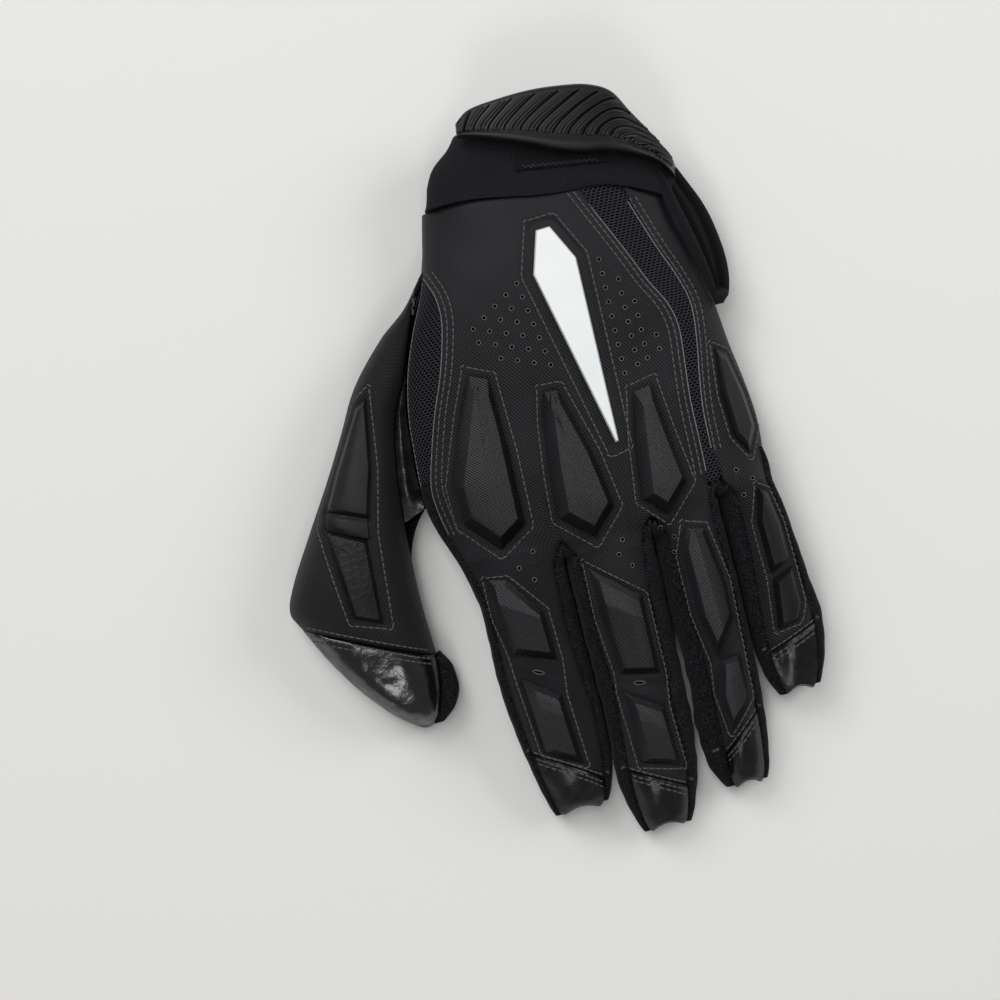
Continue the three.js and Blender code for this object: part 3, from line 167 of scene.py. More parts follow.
# %% Table of the moulded pads
# panel, height, then the corners clockwise: x, y and the width of the slope along the side after the corner
PADS = {
    "knuckle_pad_index": ("back", 2.8, [
        (-32.4, 15.0, 5.5), (-27.2, 12.6, 1.3), (-26.5, -10.0, 1.8), (-27.0, -30.4, 2.8), (-35.5, -35.8, 3.2),
        (-44.4, -26.0, 3.0), (-44.4, -15.0, 3.0), (-38.0, 2.0, 2.4)]),
    "knuckle_pad_middle": ("back", 2.8, [
        (-12.4, 5.0, 5.0), (-8.8, 4.8, 1.3), (-3.4, -15.0, 1.4), (-0.9, -31.3, 2.2), (-8.2, -39.0, 3.0),
        (-16.9, -31.0, 3.0), (-16.2, -19.0, 2.8), (-14.4, -4.0, 1.8)]),
    "knuckle_pad_ring": ("back", 2.8, [
        (12.6, -1.0, 5.0), (17.6, 0.0, 1.2), (19.0, -14.0, 1.2), (21.2, -29.5, 2.0), (13.6, -37.4, 3.0),
        (7.8, -31.5, 3.0), (9.8, -14.5, 2.4)]),
    "knuckle_pad_outer": ("outer", 2.2, [
        (38.9, 6.0, 2.4), (42.0, 4.0, 1.2), (44.5, -9.0, 1.2), (45.2, -19.0, 1.4), (41.6, -26.0, 1.6),
        (38.0, -20.0, 1.6), (37.4, -8.0, 1.6)]),
    "index_pad_near": ("back", 2.4, [
        (-41.4, -43.4, 1.6), (-36.2, -44.6, 1.6), (-27.9, -56.0, 1.4), (-27.4, -70.6, 2.0), (-39.4, -66.0, 1.8),
        (-41.4, -55.0, 1.6)]),
    "index_pad_far": ("back", 2.2, [
        (-38.8, -73.4, 1.6), (-28.6, -81.0, 1.4), (-27.2, -102.0, 1.8), (-37.0, -96.4, 2.6)]),
    "middle_pad_near": ("back", 2.4, [
        (-12.4, -47.0, 1.8), (1.0, -58.6, 1.4), (0.8, -81.6, 1.8), (-10.8, -79.0, 1.8), (-12.4, -62.0, 2.4)]),
    "middle_pad_far": ("back", 2.2, [
        (-11.4, -84.4, 1.6), (-0.4, -91.6, 1.2), (0.4, -109.4, 1.8), (-10.4, -106.0, 2.8)]),
    "ring_pad_near": ("back", 2.4, [
        (17.6, -42.0, 1.4), (23.0, -44.0, 1.3), (25.4, -60.0, 1.2), (25.2, -71.0, 1.8), (17.8, -81.0, 2.0),
        (15.0, -68.0, 2.2), (14.8, -50.0, 1.6)]),
    "ring_pad_far": ("back", 2.2, [
        (18.4, -82.6, 1.2), (24.6, -82.0, 1.2), (24.4, -94.4, 1.4), (17.0, -103.4, 1.4), (16.0, -92.0, 1.6)]),
    "little_pad_near": ("outer", 2.0, [
        (41.0, -36.4, 1.2), (43.6, -38.4, 1.2), (45.2, -48.0, 1.2), (45.4, -58.6, 1.4), (38.9, -61.4, 1.4),
        (38.4, -46.0, 1.4)]),
    "little_pad_far": ("outer", 1.8, [
        (39.0, -63.6, 1.2), (45.4, -61.0, 1.2), (45.8, -72.0, 1.2), (43.6, -76.6, 1.4), (37.4, -78.0, 1.4)]),
    "thumb_pad_near": ("thumb", 1.7, [
        (-66.8, 14.2, 1.2), (-62.8, 16.6, 0.9), (-66.2, -4.0, 0.9), (-70.4, -18.2, 1.5), (-82.4, -13.2, 1.0),
        (-76.4, -2.0, 1.0)]),
    "thumb_ledge": ("thumb", 0.5, [
        (-82.2, -12.8, 0.3), (-70.6, -17.6, 0.3), (-71.6, -24.0, 0.3), (-83.4, -18.4, 0.3)]),
    "thumb_pad_far": ("thumb", 1.8, [
        (-83.6, -17.8, 1.2), (-72.2, -23.6, 1.0), (-73.6, -48.6, 1.2), (-81.6, -45.0, 1.2)]),
    "emblem": ("back", 0.9, [
        (-3.6, 51.0, 0.4), (0.6, 51.2, 0.4), (5.8, 40.6, 0.4), (4.9, -13.6, 0.4), (3.9, -13.8, 0.4),
        (-7.4, 38.6, 0.4)]),
}
print("pads:", len(PADS))


# %% [markdown]
# ## Smooth curves and heights
# A pattern piece lies on a form, so each place on the back has one height. Sculpting it by hand would drift
# from the CAD. A rule keeps every panel, pad and stitch on the same surface, so that is used here.

# %% Curves and heights
def curve(keys, values):
    """A smooth curve through a table's values, as a function of its keys."""
    order = np.argsort(keys)
    k, v = np.asarray(keys, float)[order], np.asarray(values, float)[order]
    before, after = np.r_[0, 0:len(k) - 1], np.r_[1:len(k), len(k) - 1]
    slopes = (v[after] - v[before]) / (k[after] - k[before])

    def read(at):
        at = np.clip(np.asarray(at, float), k[0], k[-1])
        i = np.clip(np.searchsorted(k, at, side="right") - 1, 0, len(k) - 2)
        step = k[i + 1] - k[i]
        t = (at - k[i]) / step
        s = 1 - t
        return (v[i] * (1 + 2 * t) * s * s + v[i + 1] * (3 - 2 * t) * t * t
                + step * t * s * (s * slopes[i] - t * slopes[i + 1]))
    return read


def by_row(table):
    """Smooth curves through the columns of a table, read by row number."""
    return [curve(range(len(table)), column) for column in np.asarray(table, float).T]


def mix(a, b, t):
    return a + (b - a) * t


def ease(value, low, high):
    """0 below low, 1 above high, and a soft step between."""
    t = np.clip((value - low) / (high - low), 0, 1)
    return t * t * (3 - 2 * t)


hand_left, hand_right, hand_ridge, hand_left_edge = (curve(HAND[:, 0], HAND[:, k]) for k in (1, 2, 3, 4))
outer_edge = curve(OUTER_EDGE[:, 0], OUTER_EDGE[:, 1])
cuff_seam = curve(CUFF_SEAM[:, 0], CUFF_SEAM[:, 1])
FINGER_COLUMNS = ("seam_left", "seam_right", "wall_left", "wall_right", "ridge", "under")
finger = {name: {column: curve(rows[:, 0], rows[:, k + 1]) for k, column in enumerate(FINGER_COLUMNS)}
          for name, rows in FINGERS.items()}


def dome(across, edge, ridge, flatness=2.6, fullness=0.55):
    """An arched section: a flat crown that falls to its edges at across = -1 and 1."""
    return edge + (ridge - edge) * (1 - np.abs(across) ** flatness) ** fullness


def hand_height(x, y):
    left, right = hand_left(y), hand_right(y)
    across = np.clip((2 * x - left - right) / (right - left), -1, 1)
    edge = np.where(across < 0, hand_left_edge(y), SIDE_HEIGHT)
    return dome(across, edge, hand_ridge(y)) - np.maximum(-42 - y, 0)


def finger_height(name, x, y):
    f = finger[name]
    left, right, ridge = f["seam_left"](y), f["seam_right"](y), f["ridge"](y)
    across = np.minimum(np.abs((2 * x - left - right) / (right - left)), 1.5)
    return ridge - np.minimum(3.6, ridge / 4) * across ** 2.3 - np.maximum(y - FINGERS[name][0, 0], 0) * 0.6


def back_height(x, y):
    """Height of the outside of the glove's back."""
    height = hand_height(x, y)
    for name in FINGERS:
        other = finger_height(name, x, y)
        near = np.maximum(4 - np.abs(height - other), 0) / 4
        height = np.maximum(height, other) + near * near
    return height


def palm_height(x, y):
    turn = np.clip(1 - np.minimum(x - hand_left(y), hand_right(y) - x) / 8, 0, 1)
    return DEEPEST_RIM * turn ** 2


def under_finger(name, x, y):
    f = finger[name]
    left, right = f["seam_left"](y), f["seam_right"](y)
    across = np.clip(np.abs((2 * x - left - right) / (right - left)), 0, 1)
    return f["under"](y) + np.minimum(2.4, f["ridge"](y) / 9) * across ** 3


def finger_edge(name, side, y):
    """Where the back and the palm of a finger end, at its left or right side."""
    root = ROOTS[name]
    root_x, root_y = (root[0], root[1]) if side == "left" else (root[2], root[3])
    return mix(root_x, finger[name]["seam_" + side](y), ease(root_y - y, 0, 6))


def cap_line(name, across):
    return mix(ROOTS[name][4], ROOTS[name][5], across)


def tip_end(name, across):
    """The end of a finger: a dip between two soft corners."""
    side = np.abs(2 * across - 1)
    return FINGERS[name][-1, 0] + 0.2 + 2.2 * (1 - side ** 1.7) + 2.2 * side ** 12


print("height over the middle of the hand:", round(float(back_height(0.0, 0.0)), 2), "mm")


# %% [markdown]
# ## Relief of the woven back
# The moulding press leaves a shallow ditch round each pad, and each row of stitches pulls the foam down. A
# bump map could fake it, but the ditches are deep enough to shade, so they are cut into the surface itself.

# %% Distances, outlines and rows of stitches
def path_distance(x, y, path, closed=False):
    """How far each point is from a path."""
    path = np.asarray(path, float)
    ends = np.roll(path, -1, 0) if closed else path[1:]
    best = np.full(np.shape(x), 1e9)
    for a, b in zip(path[:len(ends)], ends):
        step = b - a
        t = np.clip(((x - a[0]) * step[0] + (y - a[1]) * step[1]) / max(step @ step, 1e-9), 0, 1)
        best = np.minimum(best, np.hypot(x - a[0] - t * step[0], y - a[1] - t * step[1]))
    return best


def inside(x, y, corners):
    """True inside a convex outline given clockwise."""
    result = np.ones(np.shape(x), bool)
    for a, b in zip(corners, np.roll(corners, -1, 0)):
        result &= (b[0] - a[0]) * (y - a[1]) - (b[1] - a[1]) * (x - a[0]) <= 0
    return result


def moved_in(corners, widths):
    """An outline with every side moved inwards by its own width."""
    corners, count = np.asarray(corners, float), len(corners)
    along = np.roll(corners, -1, 0) - corners
    along /= np.linalg.norm(along, axis=1)[:, None]
    at = corners + np.stack([along[:, 1], -along[:, 0]], 1) * np.asarray(widths, float)[:, None]
    moved = []
    for i in range(count):
        j = (i - 1) % count
        turn = along[j, 0] * along[i, 1] - along[j, 1] * along[i, 0]
        offset = at[i] - at[j]
        t = (offset[0] * along[i, 1] - offset[1] * along[i, 0]) / turn
        moved.append(at[j] + along[j] * t)
    return np.array(moved)


def corners_of(name):
    return np.array(PADS[name][2])[:, :2]


def around(name, distance):
    """The outline of a pad, moved out by a distance, as a row of stitches runs."""
    corners = corners_of(name)
    return moved_in(corners, np.full(len(corners), -distance))


# the stitched outlines round the pads of each finger and of the thumb
BLADES = {
    "index": [(-42.9, -42.6), (-35.4, -43.6), (-26.4, -55.4), (-25.8, -70.8), (-27.0, -81.4), (-25.6, -104.2),
              (-38.6, -97.2), (-40.6, -74.0), (-41.0, -66.2), (-43.0, -55.0)],
    "middle": [(-13.6, -44.4), (2.6, -58.0), (2.5, -82.6), (1.2, -91.8), (2.0, -111.2), (-12.0, -107.4),
               (-13.0, -84.4), (-12.4, -79.2), (-14.0, -62.0)],
    "ring": [(16.8, -40.2), (24.0, -42.4), (27.0, -60.0), (26.6, -71.4), (26.2, -82.0), (25.8, -95.4),
             (16.2, -105.6), (14.6, -92.0), (15.6, -82.6), (13.4, -68.0), (13.2, -49.8)],
    "little": [(40.4, -34.6), (44.4, -37.0), (46.4, -48.0), (46.8, -60.0), (47.1, -72.0), (44.6, -77.8),
               (36.0, -79.2), (37.4, -62.6), (36.9, -46.0)],
    "thumb": [(-69.8, 11.4), (-67.0, 16.4), (-61.2, 20.0), (-64.4, -4.2), (-68.8, -22.6), (-71.2, -50.8),
              (-83.4, -46.6), (-86.0, -17.4), (-84.4, -12.6)],
}


def edge_row(columns, inset, rows=slice(None)):
    """A row of stitches that follows one edge of the main panel, from the cuff to the knuckles."""
    edges = BACK_EDGES[rows]
    index = np.linspace(0, len(edges) - 1, 4 * len(edges))
    x, y = (column(index) for column in by_row(edges[:, columns]))
    return np.stack([x + inset, y], 1)


def cap_row(name, offset):
    across = np.linspace(0.05, 0.95, 10)
    y = cap_line(name, across) + offset
    return np.stack([mix(finger[name]["seam_left"](y), finger[name]["seam_right"](y), across), y], 1)


# each row is a path and whether it closes; seams carry two rows, so they come with two insets
outer_row_y = np.linspace(53.0, -22.0, 24)
back_rows = [(around(name, 2.3), True) for name in ("knuckle_pad_index", "knuckle_pad_middle", "knuckle_pad_ring")]
back_rows += [(around("emblem", 3.4), True)]
back_rows += [(BLADES[name], True) for name in ("index", "middle", "ring")]
back_rows += [(edge_row((0, 1), inset, slice(2, 12)), False) for inset in (1.6, 3.4)]
back_rows += [(edge_row((2, 3), inset), False) for inset in (-1.6, -3.4)]
back_rows += [(cap_row(name, 1.0), False) for name in ("index", "middle", "ring")]
outer_rows = [(np.stack([outer_edge(outer_row_y) + inset, outer_row_y], 1), False) for inset in (1.3, 3.0)]
outer_rows += [(around("knuckle_pad_outer", 1.3), True), (BLADES["little"], True), (cap_row("little", 1.0), False)]
thumb_rows = [(BLADES["thumb"], False)]
print("rows of stitches on the back:", len(back_rows) + len(outer_rows) + len(thumb_rows))


# %% The relief itself
rng = np.random.default_rng(7)
WAVES = [(rng.uniform(0, math.tau), rng.uniform(0.12, 0.42), rng.uniform(0, math.tau)) for _ in range(9)]


def waves(x, y, size):
    """Soft uneven waves, as worn foam and leather have."""
    total = np.zeros(np.shape(x))
    for angle, rate, phase in WAVES:
        warp = 0.9 * np.sin(0.11 * x + phase) + 0.9 * np.cos(0.13 * y + phase)
        total = total + np.sin(rate * (x * math.cos(angle) + y * math.sin(angle)) + phase + warp)
    return size * total / 3


# grooves across the joints of the fingers, between their two pads
JOINTS = [[(-39.4, -70.0), (-28.0, -75.0)], [(-11.4, -81.4), (0.4, -85.4)], [(17.6, -82.4), (25.4, -75.6)]]

FOAM_WAVES = 0.11
UNDER_PAD, UNDER_EMBLEM = 0.8, 0.75          # how far the cloth sinks below a pad and the emblem
DITCH, DITCH_WIDTH = 0.75, 0.75               # the ditch round a pad
JOINT_GROOVE, JOINT_WIDTH = 0.7, 1.5
STITCH_PULL, STITCH_WIDTH = 0.22, 0.55
EMBLEM_GROUND = (2.3, 2.9)                    # the pressed ground reaches this far round the emblem


def relief(x, y, rows, panels):
    """How far the woven surface stands off its form."""
    height = waves(x, y, FOAM_WAVES)
    for name, (panel, _, _) in PADS.items():
        if panel not in panels:
            continue
        distance = path_distance(x, y, corners_of(name), closed=True)
        within = inside(x, y, corners_of(name))
        if name == "emblem":
            ground = 1 - ease(distance, *EMBLEM_GROUND)
            height = height - UNDER_EMBLEM * np.where(within, 1, ground)
        else:
            height = height + np.where(within, -UNDER_PAD, -DITCH * np.exp(-(distance / DITCH_WIDTH) ** 2))
    if "back" in panels:
        for path in JOINTS:
            height = height - JOINT_GROOVE * np.exp(-(path_distance(x, y, path) / JOINT_WIDTH) ** 2)
    for path, closed in rows:
        height = height - STITCH_PULL * np.exp(-(path_distance(x, y, path, closed) / STITCH_WIDTH) ** 2)
    return height


def skin(x, y, rows=back_rows, panels=("back",)):
    return back_height(x, y) + relief(x, y, rows, panels)


def outer_skin(x, y):
    return skin(x, y, outer_rows, ("outer",))


print("depth of the ditch round a pad:", round(float(relief(np.array(-30.0), np.array(-33.5), [], ("back",))), 2))

# %% [markdown]
# ## Finishes
# Black gloves are told apart by their finishes only: woven cloth scatters, coated leather shines in wrinkled
# patches, knit drinks the light. Each finish is a small tree of nodes, measured in metres on the object.


# %% Helpers for finishes
def node_maker(tree, prefix=""):
    """A function that adds a node to a tree, with its settings, and sets or links its inputs."""
    def node(kind, inputs=(), **settings):
        made = tree.nodes.new(prefix + kind)
        for key, value in settings.items():
            setattr(made, key, value)
        for key, value in dict(inputs).items():
            if isinstance(value, bpy.types.NodeSocket):
                tree.links.new(value, made.inputs[key])
            else:
                made.inputs[key].default_value = value
        return made
    return node


def finish(name, colour, roughness, **sockets):
    """A new material, its node tree, its shader and a function that adds and links nodes."""
    material = bpy.data.materials.new(name)
    material.use_nodes = True
    tree = material.node_tree
    shader = tree.nodes["Principled BSDF"]
    shader.inputs["Base Color"].default_value = (*colour, 1)
    shader.inputs["Roughness"].default_value = roughness
    for socket, value in sockets.items():
        shader.inputs[socket.replace("_", " ")].default_value = value
    return material, tree, shader, node_maker(tree, "ShaderNode")


def on_object(node, scale=(1, 1, 1), turn=0.0):
    """Object coordinates, turned about Z and scaled."""
    where = node("TexCoord")
    turned = node("Mapping", {"Vector": where.outputs["Object"], "Rotation": (0, 0, turn), "Scale": scale})
    return turned.outputs["Vector"]


def maths(node, operation, *values, clamp=False):
    made = node("Math", dict(enumerate(values)), operation=operation)
    made.use_clamp = clamp
    return made.outputs[0]


def noise(node, vector, scale, detail=3.0, roughness=0.5):
    made = node("TexNoise", {"Vector": vector, "Scale": scale, "Detail": detail, "Roughness": roughness})
    return made.outputs["Fac"]


def ramp(node, value, stops):
    made = node("ValToRGB", {"Fac": value})
    made.color_ramp.elements[0].position, made.color_ramp.elements[1].position = stops[0][0], stops[-1][0]
    made.color_ramp.elements[0].color, made.color_ramp.elements[1].color = (*stops[0][1], 1), (*stops[-1][1], 1)
    for place, colour in stops[1:-1]:
        made.color_ramp.elements.new(place).color = (*colour, 1)
    return made.outputs["Color"]


def grey(level, tint=(0.95, 0.97, 1.18)):
    return tuple(level * t for t in tint)


def shaded(node, colour, name):
    """A colour multiplied by a painted shade number stored on the points, and that number."""
    stored = node("Attribute", attribute_name=name)
    made = node("Mix", {0: 1.0, 6: colour, 7: stored.outputs["Color"]}, data_type="RGBA", blend_type="MULTIPLY")
    return made.outputs[2], stored.outputs["Fac"]


def bumps(node, tree, shader, *layers):
    """Chains bumps: (height, depth in millimetres, strength)."""
    normal = None
    for height, depth, strength in layers:
        inputs = {"Height": height, "Distance": depth * MM, "Strength": strength}
        if normal is not None:
            inputs["Normal"] = normal
        normal = node("Bump", inputs).outputs["Normal"]
    tree.links.new(normal, shader.inputs["Normal"])


def weave(node, period, turn):
    """Slanting rows of threads, each row broken by the threads that cross it."""
    flat = node("UVMap", uv_map="pattern")
    turned = node("Mapping", {"Vector": flat.outputs["UV"], "Rotation": (0, 0, turn)})
    split = node("SeparateXYZ", {"Vector": turned.outputs["Vector"]})
    rate = math.tau / (period * MM)
    rows = maths(node, "COSINE", maths(node, "MULTIPLY", split.outputs["Y"], rate))
    breaks = maths(node, "COSINE", maths(node, "MULTIPLY", split.outputs["X"], rate * 0.85))
    return maths(node, "MULTIPLY_ADD", maths(node, "MULTIPLY_ADD", breaks, 0.6, rows), 0.31, 0.5)


# %% [markdown]
# ### Woven and moulded cloth
# The panels are a coarse ballistic cloth, its rows running at a slant to the hand. Where it was pressed over a
# pad it is smoother and finer. Image scans of cloth would do, but two crossed sine waves scale to any size.

# %% Woven cloths
def cloth(name, thread, turn, low, high, roughness, depth, fade=None, painted_shade=False):
    material, tree, shader, node = finish(name, grey(high), roughness, Specular_IOR_Level=0.4 if painted_shade else 0.22)
    shader.inputs["Sheen Weight"].default_value = 0.03
    shader.inputs["Sheen Roughness"].default_value = 0.45
    threads = weave(node, thread, turn)
    cloudy = noise(node, on_object(node), 90.0)
    mixed = maths(node, "MULTIPLY_ADD", cloudy, 0.35, maths(node, "MULTIPLY", threads, 0.75))
    if fade:
        split = node("SeparateXYZ", {"Vector": on_object(node)})
        share = node("MapRange", {"Value": split.outputs["Y"], "From Min": fade[0] * MM, "From Max": fade[1] * MM,
                                  "To Min": 1.0, "To Max": 0.12})
        mixed = maths(node, "MULTIPLY_ADD", maths(node, "SUBTRACT", mixed, 0.55), share.outputs["Result"], 0.55)
        threads = maths(node, "MULTIPLY", threads, share.outputs["Result"])
    colour = ramp(node, mixed, [(0.3, grey(low)), (0.85, grey(high))])
    # painted shade: the stored number darkens the colour and lowers the shine
    if painted_shade:
        colour, facet = shaded(node, colour, "painted_shade")
        tree.links.new(maths(node, "MULTIPLY", facet, 0.4), shader.inputs["Specular IOR Level"])
    tree.links.new(colour, shader.inputs["Base Color"])
    bumps(node, tree, shader, (threads, depth, 1.0), (noise(node, on_object(node), 900.0), 0.05, 0.6))
    return material


panel_cloth = cloth("panel_cloth", 0.74, 0.8, 0.0005, 0.026, 0.6, 0.26, fade=(22, 46))
# the pad cloth reads the painted shade stored on the blocks
pad_cloth = cloth("pad_cloth", 0.66, 0.8, 0.003, 0.028, 0.42, 0.14, painted_shade=True)
thumb_cloth = cloth("thumb_cloth", 0.74, 0.8, 0.002, 0.014, 0.6, 0.18)
print("cloths: panel, pad, thumb")

# %% [markdown]
# ### Leather, knit, mesh, neoprene and rubber
# Coated leather is a smooth film over wrinkles, so it gets a clear coat. On the sides of the caps and the thumb's
# tip the coat and shine fade by a number stored on the points, a painted shade that keeps the steep sides from
# reflecting the pale table. Knit has soft sheen and fine ribs. Neoprene is nearly matt. Moulded rubber is smooth
# with a faint skin. One function for each family keeps the finishes related, as they are on the glove, and only
# their numbers differ.


# %% The other finishes
def leather(name, level, roughness, coat, wrinkle, depth, creases, shine=0.5, painted_side_shade=False):
    material, tree, shader, node = finish(
        name, grey(level), roughness, Specular_IOR_Level=shine, Coat_Weight=coat, Coat_Roughness=0.16)
    vector = on_object(node)
    broad, fine = noise(node, vector, wrinkle, 2.0, 0.5), noise(node, vector, wrinkle * 5, 3.0)
    cells = node("TexVoronoi", {"Vector": vector, "Scale": wrinkle * 9}, feature="DISTANCE_TO_EDGE")
    grain = node("MapRange", {"Value": cells.outputs["Distance"], "From Max": 0.12})
    tone = ramp(node, broad, [(0.3, grey(level * 0.7)), (0.7, grey(level * 1.5))])
    tree.links.new(tone, shader.inputs["Base Color"])
    rough = node("MapRange", {"Value": fine, "From Min": 0.3, "From Max": 0.7, "To Min": roughness * 0.75,
                              "To Max": roughness * 1.3})
    tree.links.new(rough.outputs["Result"], shader.inputs["Roughness"])
    bumps(node, tree, shader, (broad, depth, 1.0), (fine, depth * creases, 1.0), (grain.outputs["Result"], 0.02, 0.6))
    tree.links.new(shader.inputs["Normal"].links[0].from_socket, shader.inputs["Coat Normal"])
    # painted shade: on the sides the coat and shine fade by the stored facing number
    if painted_side_shade:
        facing = node("Attribute", attribute_name="facing_up").outputs["Fac"]
        tree.links.new(maths(node, "MULTIPLY", facing, coat), shader.inputs["Coat Weight"])
        tree.links.new(maths(node, "MULTIPLY", facing, shine), shader.inputs["Specular IOR Level"])
    return material


def knit(name, level, rib, sheen, turn=0.0, fuzzy=False, painted_hollow_shade=False):
    material, tree, shader, node = finish(name, grey(level), 0.9, Specular_IOR_Level=0.1)
    shader.inputs["Sheen Weight"].default_value = sheen
    shader.inputs["Sheen Roughness"].default_value = 0.5
    loops = weave(node, rib, turn)
    fuzz = noise(node, on_object(node), 1500.0 if fuzzy else 2600.0, 2.0, 0.7)
    pile = noise(node, on_object(node), 700.0)
    mixed = maths(node, "MULTIPLY_ADD", fuzz, 0.6, maths(node, "MULTIPLY", loops, 0.4))
    stops = [(0.3, grey(level * 0.3)), (0.8, grey(level * 2.0))]
    if fuzzy:
        stops = [(0.3, grey(level * 0.25)), (0.58, grey(level * 0.9)), (0.8, grey(level * 9.0))]
    colour = ramp(node, mixed, stops)
    # painted shade in the side tab's hollow
    if painted_hollow_shade:
        colour, _ = shaded(node, colour, "painted_shade")
    tree.links.new(colour, shader.inputs["Base Color"])
    bumps(node, tree, shader, (loops, 0.08, 0.9), (fuzz, 0.12, 1.0), (pile, 0.15, 0.7))
    return material


def rubber(name, level, roughness, hexagons=False, shine=0.3):
    material, tree, shader, node = finish(name, grey(level), roughness, Specular_IOR_Level=shine)
    vector = on_object(node)
    cloudy, skin_grain = noise(node, vector, 160.0, 4.0), noise(node, vector, 1500.0)
    tree.links.new(ramp(node, cloudy, [(0.3, grey(level * 0.8)), (0.7, grey(level * 1.25))]),
                   shader.inputs["Base Color"])
    layers = [(cloudy, 0.12, 0.8), (skin_grain, 0.03, 0.8)]
    if hexagons:
        cells = node("TexVoronoi", {"Vector": vector, "Scale": 420.0, "Randomness": 0.7},
                     feature="DISTANCE_TO_EDGE")
        walls = node("MapRange", {"Value": cells.outputs["Distance"], "From Min": 0.04, "From Max": 0.2})
        layers.append((walls.outputs["Result"], -0.08, 1.0))
    rough = node("MapRange", {"Value": cloudy, "To Min": roughness - 0.08, "To Max": roughness + 0.1})
    tree.links.new(rough.outputs["Result"], shader.inputs["Roughness"])
    bumps(node, tree, shader, *layers)
    return material


palm_leather = leather("palm_leather", 0.006, 0.3, 0.4, 150.0, 0.5, 0.22)
thumb_leather = leather("thumb_leather", 0.004, 0.22, 0.9, 75.0, 1.5, 0.06, painted_side_shade=True)
tip_leather = leather("tip_leather", 0.0015, 0.34, 0.1, 70.0, 0.9, 0.05, shine=0.45, painted_side_shade=True)
strip_knit = knit("strip_knit", 0.0075, 0.5, 0.03, 0.9, fuzzy=True)
mesh_knit = knit("mesh_knit", 0.0012, 0.4, 0.0)
net_knit = knit("net_knit", 0.025, 0.3, 0.02)
cuff_neoprene = knit("cuff_neoprene", 0.014, 0.3, 0.02, 0.3)
tab_neoprene = knit("tab_neoprene", 0.014, 0.3, 0.02, 0.3, painted_hollow_shade=True)
hook_cloth = knit("hook_cloth", 0.010, 0.5, 0.02)
pad_rubber = rubber("pad_rubber", 0.005, 0.5)
cell_rubber = rubber("cell_rubber", 0.005, 0.46, hexagons=True)
strap_rubber = rubber("strap_rubber", 0.006, 0.42)
# painted shade for the strap's grooves
painted_groove_shade = rubber("painted_groove_shade", 0.0012, 0.9, shine=0.06)
print("other finishes: leather 3, knit 6, rubber 4")

# %% [markdown]
# ### Thread, raw edges and film
# Thread is twisted and a little shiny, a raw edge is pale foam, and the emblem is a pressed film. Painted maps
# could show all three on one mesh, but each is its own piece here, so a plain colour with a little noise is enough.


# %% Thread, raw edges and the white film
def plain_thread(name, level, roughness, tint=(1.0, 1.0, 1.03)):
    material, tree, shader, node = finish(name, grey(level, tint), roughness, Specular_IOR_Level=0.5)
    twist = noise(node, on_object(node), 2500.0, 2.0)
    tree.links.new(ramp(node, twist, [(0.3, grey(level * 0.6, tint)), (0.7, grey(level * 1.5, tint))]),
                   shader.inputs["Base Color"])
    bumps(node, tree, shader, (twist, 0.05, 0.8))
    return material


seam_thread = plain_thread("seam_thread", 0.062, 0.5)
patch_thread = plain_thread("patch_thread", 0.03, 0.6)
raw_edge = plain_thread("raw_edge", 0.15, 0.7)
eyelet_rim = plain_thread("eyelet_rim", 0.14, 0.5)
# painted shade for the dark inside of holes and slots
painted_hole_shade = finish("painted_hole_shade", grey(0.0005), 1.0, Specular_IOR_Level=0.0)[0]

white_film, tree, shader, node = finish("white_film", (0.88, 0.91, 0.91), 0.38, Specular_IOR_Level=0.4)
speckle = noise(node, on_object(node), 1400.0)
smudge = noise(node, on_object(node), 60.0)
tree.links.new(ramp(node, smudge, [(0.3, (0.84, 0.88, 0.89)), (0.7, (0.91, 0.93, 0.92))]),
               shader.inputs["Base Color"])
bumps(node, tree, shader, (speckle, 0.02, 0.6), (smudge, 0.15, 0.6))
print("materials:", len(bpy.data.materials))

# %% [markdown]
# ## Closed walls
# Every sewn piece is a sheet with a thickness. Solidify would give one, but it can't thin the wall or roll a
# cut edge in chosen places, so each wall is built from two grids, outside and inside, joined round the rim.


# %% Walls and pieces
def pattern_of(grid):
    """Places on the flat cloth, in millimetres: across from the middle column, and along the middle column."""
    middle = grid.shape[1] // 2
    across = np.linalg.norm(np.diff(grid, axis=1), axis=2)
    across = np.concatenate([np.zeros((len(grid), 1)), np.cumsum(across, 1)], 1)
    along = np.r_[0, np.cumsum(np.linalg.norm(np.diff(grid[:, middle], axis=0), axis=1))]
    return np.stack([across - across[:, middle:middle + 1], -along[:, None] + 0 * across], -1)


def wall(outer, inner, keep=None):
    """Points, with their places on the flat cloth, and faces of a closed wall between two grids."""
    rows, columns = outer.shape[:2]
    index = np.arange(rows * columns).reshape(rows, columns)
    quads = np.stack([index[:-1, :-1], index[1:, :-1], index[1:, 1:], index[:-1, 1:]], -1)
    quads = quads.reshape(-1, 4) if keep is None else quads[keep]
    count = rows * columns
    edges = np.concatenate([quads[:, [k, (k + 1) % 4]] for k in range(4)])
    border = edges[~np.isin(edges[:, 0] * count + edges[:, 1], edges[:, 1] * count + edges[:, 0])]
    rim = np.stack([border[:, 1], border[:, 0], border[:, 0] + count, border[:, 1] + count], 1)
    faces = np.concatenate([quads, quads[:, ::-1] + count, rim])
    pattern = pattern_of(outer).reshape(-1, 2)
    points = np.concatenate([outer.reshape(-1, 3), inner.reshape(-1, 3)])
    return np.hstack([points, np.concatenate([pattern, pattern])]), faces


